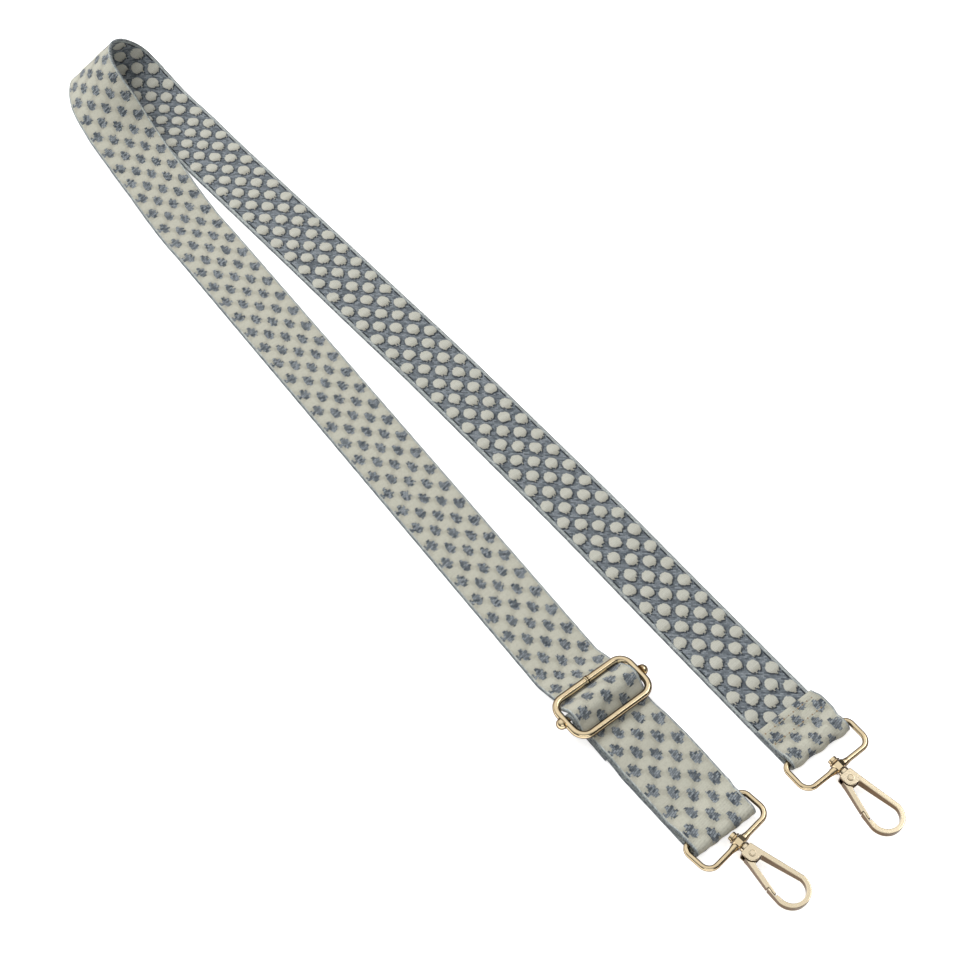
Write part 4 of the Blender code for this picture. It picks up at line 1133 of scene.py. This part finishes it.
def tubeShape(shape, points, radii, closed=False, around=24):  # a flat route in X and Y
    rings = []
    last = len(points) - 1
    for i, (point, radius) in enumerate(zip(points, radii)):
        before = points[i - 1] if closed or i else points[0]
        after = points[(i + 1) % len(points)] if closed or i < last else points[last]
        along = (after - before).normalized()
        side = along.cross(Vector((0, 0, 1)))
        ring = []
        for k in range(around):
            angle = math.tau * k / around
            spoke = math.cos(angle) * side + math.sin(angle) * Vector((0, 0, 1))
            ring.append(shape.verts.new(point + radius * spoke))
        rings.append(ring)
    pairs = list(zip(rings, rings[1:])) + ([(rings[-1], rings[0])] if closed else [])
    for low, high in pairs:
        for k in range(around):
            shape.faces.new((low[k], low[(k + 1) % around], high[(k + 1) % around], high[k]))
    if not closed:
        shape.faces.new(rings[0][::-1])
        shape.faces.new(rings[-1])


def turnShape(shape, profile, axis, around=40, centre=(0, 0, 0)):  # profile of radius and height
    turns = {
        "X": lambda r, h, c, s: (h, r * c, r * s),
        "Y": lambda r, h, c, s: (r * c, h, r * s),
        "Z": lambda r, h, c, s: (r * c, r * s, h),
    }
    rings = []
    for radius, height in profile:
        spots = 1 if radius == 0 else around
        ring = []
        for k in range(spots):
            angle = math.tau * k / around
            spot = turns[axis](radius, height, math.cos(angle), math.sin(angle))
            ring.append(shape.verts.new(Vector(centre) + Vector(spot)))
        rings.append(ring)
    for low, high in zip(rings, rings[1:]):
        for k in range(around):
            corners = [
                low[k % len(low)], low[(k + 1) % len(low)], high[(k + 1) % len(high)], high[k % len(high)],
            ]
            corners = list(dict.fromkeys(corners))
            if len(corners) > 2:
                shape.faces.new(corners)
    for ring in (rings[0], rings[-1]):
        if len(ring) > 2:
            shape.faces.new(ring)


def meshOf(name, shape):
    bmesh.ops.recalc_face_normals(shape, faces=shape.faces)
    mesh = bpy.data.meshes.new(name)
    shape.to_mesh(mesh)
    shape.free()
    return mesh


def dome(radius, rim, crown, steps=8):
    points = []
    for i in range(steps + 1):
        angle = math.pi / 2 * i / steps
        points.append((radius * math.sin(angle), rim + (crown - rim) * math.cos(angle)))
    return points


def plateShape(outline, thickness):
    shape = bmesh.new()
    low = [shape.verts.new((p[0], p[1], -thickness / 2)) for p in outline]
    face = shape.faces.new(low)
    lifted = bmesh.ops.extrude_face_region(shape, geom=[face])["geom"]
    raised = [each for each in lifted if isinstance(each, bmesh.types.BMVert)]
    bmesh.ops.translate(shape, verts=raised, vec=(0, 0, thickness))
    bmesh.ops.recalc_face_normals(shape, faces=shape.faces)
    return shape


def roundRim(shape, width, segments=3):
    edges = [edge for edge in shape.edges if edge.calc_face_angle(0) > math.radians(55)]
    bmesh.ops.bevel(shape, geom=edges, offset=width, segments=segments, affect="EDGES", profile=0.6)


def taperShape(shape, start, end, share):
    for corner in shape.verts:
        way = min(max((corner.co.y - start) / (end - start), 0), 1)
        corner.co.z *= 1 + (share - 1) * way


def combined(mesh, steps):  # each step is an operation and the mesh it takes
    made = bpy.data.objects.new("working", mesh)
    bpy.context.scene.collection.objects.link(made)
    others = []
    for operation, other in steps:
        helper = bpy.data.objects.new("helper", other)
        bpy.context.scene.collection.objects.link(helper)
        others.append(helper)
        step = made.modifiers.new("step", "BOOLEAN")
        step.operation = operation
        step.object = helper
        step.solver = "EXACT"
    bpy.context.view_layer.update()
    result = bpy.data.meshes.new_from_object(made.evaluated_get(bpy.context.evaluated_depsgraph_get()))
    for each in [made] + others:
        bpy.data.objects.remove(each)
    return result


def evenNormals(piece):  # flat faces stay flat beside their rounded rims
    piece.modifiers.new("evenNormals", "WEIGHTED_NORMAL").keep_sharp = True
    bpy.context.view_layer.update()
    final = bpy.data.meshes.new_from_object(piece.evaluated_get(bpy.context.evaluated_depsgraph_get()))
    piece.modifiers.clear()
    piece.data = final


# The sewn flap's two rows of thread, and the needle's holes

def addStitch(shape, x, row, top, step):  # one arched thread between two holes
    inset, sides, parts = thread["inset"], 10, 8
    rings = []
    for k in range(parts + 1):
        t = k / parts
        rise = thread["arch"] * math.sin(math.pi * t) ** 0.6 - thread["sink"]
        point = Vector((x + inset + (step - 2 * inset) * t, row, top + rise))
        wide = thread["radius"] * (0.8 + 0.2 * math.sin(math.pi * t))
        ring = []
        for m in range(sides):
            angle = math.tau * m / sides
            ring.append(shape.verts.new(point + wide * Vector((0, math.cos(angle), math.sin(angle)))))
        rings.append(ring)
    for low, high in zip(rings, rings[1:]):
        for m in range(sides):
            shape.faces.new((low[m], low[(m + 1) % sides], high[(m + 1) % sides], high[m]))
    shape.faces.new(rings[0][::-1])
    shape.faces.new(rings[-1])


def addHole(shape, x, row, top):
    radius, floor = thread["holeRadius"], top - thread["holeDepth"]
    profile = dome(radius, top, top + thread["holeHeight"], 4) + [(radius, floor), (0, floor)]
    turnShape(shape, profile, "Z", 12, (x, row, 0))


def addStitches():
    shape, holes = bmesh.new(), bmesh.new()
    top = second + relief["base"] + relief["star"]
    count = round(2 * thread["reach"] / thread["pitch"])
    step = 2 * thread["reach"] / count
    for row in thread["rows"]:
        for i in range(count + 1):
            x = strap["rightLane"] - thread["reach"] + i * step
            addHole(holes, x, row, top)
            if i < count:
                addStitch(shape, x, row, top, step)
    place = placeAt(0, 0, 0)
    nodes = ("flap_stitch_row_1", "flap_stitch_row_2")
    addPiece("flapStitches", meshOf("flapStitches", shape), threadMaterial, place, "strap", "thread", *nodes)
    addPiece("flapHoles", meshOf("flapHoles", holes), holeMaterial, place, "strap", "thread")
    print("stitches made")


# Slider frame and bar

def addSlider():
    side = sliderFit["side"] - sliderFit["corner"]
    rise = sliderReach - sliderFit["corner"]
    seam, wire = sliderLook["seam"] / 2, sliderFit["wire"] / 2
    flare = sliderLook["flare"]
    ends = [(seam, 0.9), (seam + 0.15, flare), (seam + 0.7, flare), (seam + 1.0, 1.0)]
    ends += [(step * 2.5, 1.0) for step in range(1, 7)]
    points = [Vector((x, sliderReach, 0)) for x, _ in ends]
    radii = [wire * share for _, share in ends]
    for x, y, start in ((side, rise, 90), (side, -rise, 0), (-side, -rise, -90), (-side, rise, -180)):
        points += arc((x, y), sliderFit["corner"], start, start - 90, 14)
    points += [Vector((-x, sliderReach, 0)) for x, _ in reversed(ends)]
    radii += [wire] * (len(points) - 2 * len(ends)) + [wire * share for _, share in reversed(ends)]
    lane = sliderPlace["lane"] + sliderLook["shift"]
    place = placeAt(lane, sliderPlace["distance"], sliderPlane, 0, sliderLook["tilt"])
    shape = bmesh.new()
    tubeShape(shape, points, radii)
    mesh = meshOf("sliderFrame", shape)
    addPiece("sliderFrame", mesh, warmMaterial, place, "slider", "pale_gold", "slider_frame")

    seat = sliderFit["side"] + wire * sliderLook["seat"]
    radius, neck, bar = sliderLook["head"] / 2, sliderLook["neck"] / 2, sliderFit["bar"] / 2
    rim = seat + sliderLook["disc"]
    shoulder = sliderFit["side"] - wire - 0.3
    outer = dome(radius * 0.96, rim + 0.12, seat + 0.4 + radius, 10)
    outer += [(radius * 0.9, rim), (radius, rim - 0.12), (radius, seat + 0.2), (radius * 0.9, seat)]
    outer += [(neck, seat), (neck, shoulder), (bar, shoulder)]
    profile = [(r, -h) for r, h in outer] + outer[::-1]
    shape = bmesh.new()
    turnShape(shape, profile, "X")
    place = placeAt(lane, sliderPlace["distance"], sliderPlane, sliderLook["barYaw"], sliderLook["tilt"])
    mesh = meshOf("sliderBar", shape)
    addPiece("sliderBar", mesh, warmMaterial, place, "slider", "pale_gold", "slider_bar")
    print("slider made")


# Rings, swivels and snap hooks

ring = dict(
    side=22.0, reach=16.8, wire=3.0, foldCorner=4.0, bossCorner=5.6, boss=7.6, bossLength=4.4, flare=3.2,
)
pin = dict(shank=3.0, collar=6.2, collarHeight=0.8, head=4.8, headHeight=2.0, groove=0.4)
hook = dict(
    neck=5.5, neckLength=1.6, head=6.0, bow=3.6, shoulder=2.6, arm=2.7, bowX=-0.95, bowY=-32.6,
    bowRadius=9.5, bowWidth=2.45, cheek=3.9, cheekCorner=1.2, pivotX=-0.9, pivotY=-8.2, rim=0.5,
)
gate = dict(
    lean=14.0, inset=1.75, width=2.5, knuckle=2.7, knuckleThickness=2.8, knuckleLength=6.0, thickness=4.4,
    tip=3.4, rim=0.35, reach=17.5, tongue=4.4, tongueGap=0.6, lip=1.1, gap=0.3, rivet=2.0, rivetHead=3.4,
)
neckTop = -ring["bossLength"] / 2 - 0.3
headTop = neckTop - hook["neckLength"]
gateOut = gate["inset"] + gate["width"]


def ringMesh():
    foldSide, bossSide = ring["side"] - ring["foldCorner"], ring["side"] - ring["bossCorner"]
    points = arc((foldSide, -ring["foldCorner"]), ring["foldCorner"], 90, 0, 12)
    points += arc((bossSide, ring["bossCorner"] - ring["reach"]), ring["bossCorner"], 0, -90, 14)
    radii = [ring["wire"] / 2] * len(points)
    edge, swell = ring["boss"] / 2, ring["bossLength"] / ring["wire"] * 0.92
    sides = []
    for i in range(9):
        t = i / 8
        ease = t * t * (3 - 2 * t)
        sides.append((edge + ring["flare"] * (1 - t) - 0.6 * t, ring["wire"] / 2 * (1 + (swell - 1) * ease)))
    for x, radius in sides + [(-x, radius) for x, radius in reversed(sides)]:
        points.append(Vector((x, -ring["reach"], 0)))
        radii.append(radius)
    points += arc((-bossSide, ring["bossCorner"] - ring["reach"]), ring["bossCorner"], -90, -180, 14)
    points += arc((-foldSide, -ring["foldCorner"]), ring["foldCorner"], 180, 90, 12)
    radii += [ring["wire"] / 2] * (len(points) - len(radii))
    shape = bmesh.new()
    tubeShape(shape, points, radii, closed=True)
    long, wide, rim = ring["bossLength"] / 2, ring["boss"] / 2, 0.45
    barrel = [(wide - rim, long), (wide, long - rim), (wide, rim - long), (wide - rim, -long)]
    turnShape(shape, barrel, "Y", 8, (0, -ring["reach"], 0))
    return meshOf("ring", shape)


def pinMesh():
    collar = ring["bossLength"] / 2 + pin["groove"]
    top = collar + pin["collarHeight"]
    radius, wide = pin["head"] / 2, pin["collar"] / 2
    end, neck, shank = top + pin["headHeight"], hook["neck"] / 2, pin["shank"] / 2
    profile = [
        (0, end), (radius - 0.5, end), (radius - 0.12, end - 0.12), (radius, end - 0.6), (radius, top + 0.3),
        (radius - 0.3, top), (wide - 0.2, top), (wide, top - 0.2), (wide, collar + 0.2),
        (wide - 0.25, collar),
        (shank, collar), (shank, neckTop - 0.1), (neck - 0.5, neckTop + 0.12), (neck - 0.5, neckTop - 0.02),
        (0, neckTop - 0.02),
    ]
    shape = bmesh.new()
    turnShape(shape, profile, "Y")
    return meshOf("pin", shape)


def gatePlace(outset, reach):
    lean = math.radians(gate["lean"])
    along = Vector((-math.sin(lean), -math.cos(lean), 0))
    outwards = Vector((-math.cos(lean), math.sin(lean), 0))
    return outset * outwards + reach * along


def hookOutline():
    pivot = Vector((hook["pivotX"], hook["pivotY"], 0))
    bow, radius = (hook["bowX"], hook["bowY"]), hook["bowRadius"]
    foot = hook["bowX"] + radius
    eyeTop = hook["pivotY"] - hook["cheek"]
    share = (headTop - eyeTop) / (headTop - hook["bowY"])
    armX = hook["shoulder"] + (foot - hook["shoulder"]) * share - hook["arm"]
    lipTop = gate["reach"] + gate["gap"]
    shelf = gate["reach"] + gate["tongue"] + gate["tongueGap"]
    points = [Vector((hook["shoulder"], headTop, 0))]
    points += arc(bow, radius, 0, -180, 40)
    points += [pivot + gatePlace(gateOut, lipTop), pivot + gatePlace(gateOut - gate["lip"], lipTop)]
    points += [pivot + gatePlace(gateOut - gate["lip"], shelf), pivot + gatePlace(gate["inset"], shelf)]
    points += arc(bow, radius - hook["bowWidth"], -180, 0, 36)
    points.append(Vector((armX, eyeTop, 0)))
    points += arc((pivot.x, pivot.y), hook["cheek"], -90, -180, 12)
    corner = (hook["pivotX"] - hook["cheek"] + hook["cheekCorner"], headTop - hook["cheekCorner"])
    points += arc(corner, hook["cheekCorner"], 180, 90, 6)
    return points


def hookMesh():
    shape = plateShape(hookOutline(), hook["head"])
    roundRim(shape, hook["rim"])
    taperShape(shape, hook["pivotY"], hook["bowY"], hook["bow"] / hook["head"])
    body = bpy.data.meshes.new("hook")
    shape.to_mesh(body)
    shape.free()
    neck = bmesh.new()
    radius = hook["neck"] / 2
    profile = [(radius - 0.25, neckTop), (radius, neckTop - 0.25), (radius, headTop - hook["neckLength"])]
    turnShape(neck, profile, "Y")
    pivot = (hook["pivotX"], hook["pivotY"])
    slot = arc(pivot, gate["knuckle"] + gate["gap"], 90, -50, 18)
    below, outer = hook["pivotY"] - hook["cheek"] - 1, hook["pivotX"] - hook["cheek"] - 1
    above = hook["pivotY"] + gate["knuckle"] + gate["gap"]
    slot += [Vector((slot[-1].x, below, 0)), Vector((outer, below, 0)), Vector((outer, above, 0))]
    cutter = plateShape(slot, gate["knuckleThickness"] + 2 * gate["gap"])
    return combined(body, [("UNION", meshOf("neck", neck)), ("DIFFERENCE", meshOf("slot", cutter))])


def gateMesh():
    clear = hook["cheek"] + gate["gap"]
    start = gatePlace(gate["inset"], math.sqrt(clear**2 - gate["inset"] ** 2))
    end = gatePlace(gateOut, 0)
    startAngle = math.degrees(math.atan2(start.y, start.x))
    endAngle = math.degrees(math.atan2(end.y, end.x)) - 360
    tongueOut = gateOut - gate["lip"] - gate["gap"]
    tip = gate["reach"] + gate["tongue"]
    outline = arc((0, 0), clear, startAngle, endAngle, 12)[:-1]
    outline += [gatePlace(gateOut, 0), gatePlace(gateOut, gate["reach"]), gatePlace(tongueOut, gate["reach"])]
    outline += [gatePlace(tongueOut, tip - gate["gap"]), gatePlace(gate["inset"], tip)]
    shape = plateShape(outline, gate["thickness"])
    roundRim(shape, gate["rim"])
    taperShape(shape, -hook["cheek"], gatePlace(0, gate["reach"]).y, gate["tip"] / gate["thickness"])
    bar = bpy.data.meshes.new("gate")
    shape.to_mesh(bar)
    shape.free()
    knuckle = arc((0, 0), gate["knuckle"], -90 - gate["lean"], 90 - gate["lean"], 20)
    outside, inside, foot = gateOut - 0.3, gate["inset"] + 0.3, gate["knuckleLength"]
    knuckle += [gatePlace(outside, 0), gatePlace(outside, foot), gatePlace(inside, foot)]
    return combined(bar, [("UNION", meshOf("knuckle", plateShape(knuckle, gate["knuckleThickness"])))])


def rivetMesh():
    seat = hook["head"] / 2 + 0.05
    wide = gate["rivetHead"] / 2
    top = [
        (0, seat + 0.3), (wide - 0.5, seat + 0.3), (wide - 0.42, seat + 0.05), (wide - 0.3, seat + 0.05),
        (wide - 0.22, seat + 0.26), (wide - 0.05, seat + 0.24), (wide, seat + 0.12), (wide, seat - 0.04),
        (gate["rivet"] / 2, seat - 0.04),
    ]
    shape = bmesh.new()
    turnShape(shape, top + [(r, -h) for r, h in reversed(top)], "Z", 40)
    return meshOf("rivet", shape)


def addHook(side, lane, along, yaw):
    name = f"hook{side.upper()}"
    turn = math.radians(yaw)
    swivelX, swivelY = lane + ring["reach"] * math.sin(turn), along - ring["reach"] * math.cos(turn)
    seat = placeAt(lane, along, hookHeight, yaw)
    swivel = placeAt(swivelX, swivelY, hookHeight, yaw)
    pivot = swivel @ Matrix.Translation((hook["pivotX"], hook["pivotY"], 0))
    warm, pale = warmMaterial, goldMaterial
    ringBody, hookBody, gateBody = f"hook_{side}_ring", f"hook_{side}", f"hook_{side}_gate"
    addPiece(f"{name}Ring", ringMesh(), warm, seat, ringBody, "pale_gold", f"hook_{side}_ring")
    addPiece(f"{name}Pin", pinMesh(), warm, swivel, hookBody, "pale_gold", f"hook_{side}_swivel_pin")
    body = addPiece(f"{name}Body", hookMesh(), pale, swivel, hookBody, "pale_gold", f"hook_{side}_body")
    bar = addPiece(f"{name}Gate", gateMesh(), pale, pivot, gateBody, "pale_gold", f"hook_{side}_gate")
    evenNormals(body)
    evenNormals(bar)
    addPiece(f"{name}Rivet", rivetMesh(), pale, pivot, hookBody, "pale_gold", f"hook_{side}_gate_rivet")
    print("hook made:", side)


def finishSprings():
    for side in "ab":
        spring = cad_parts[f"hook_{side}_gate_spring"]
        spring.data.materials.clear()
        spring.data.materials.append(steelMaterial)


addCamera()
addSky()
addLamps()
addFloor()
print("camera, light and floor made")
addWebbing()
addStitches()
addSlider()
addHook("a", strap["leftLane"], strap["ringAlongA"], strap["ringYawA"])
addHook("b", strap["rightLane"], strap["ringAlongB"], strap["ringYawB"])
finishSprings()

bpy.context.scene.view_settings.view_transform = "Standard"
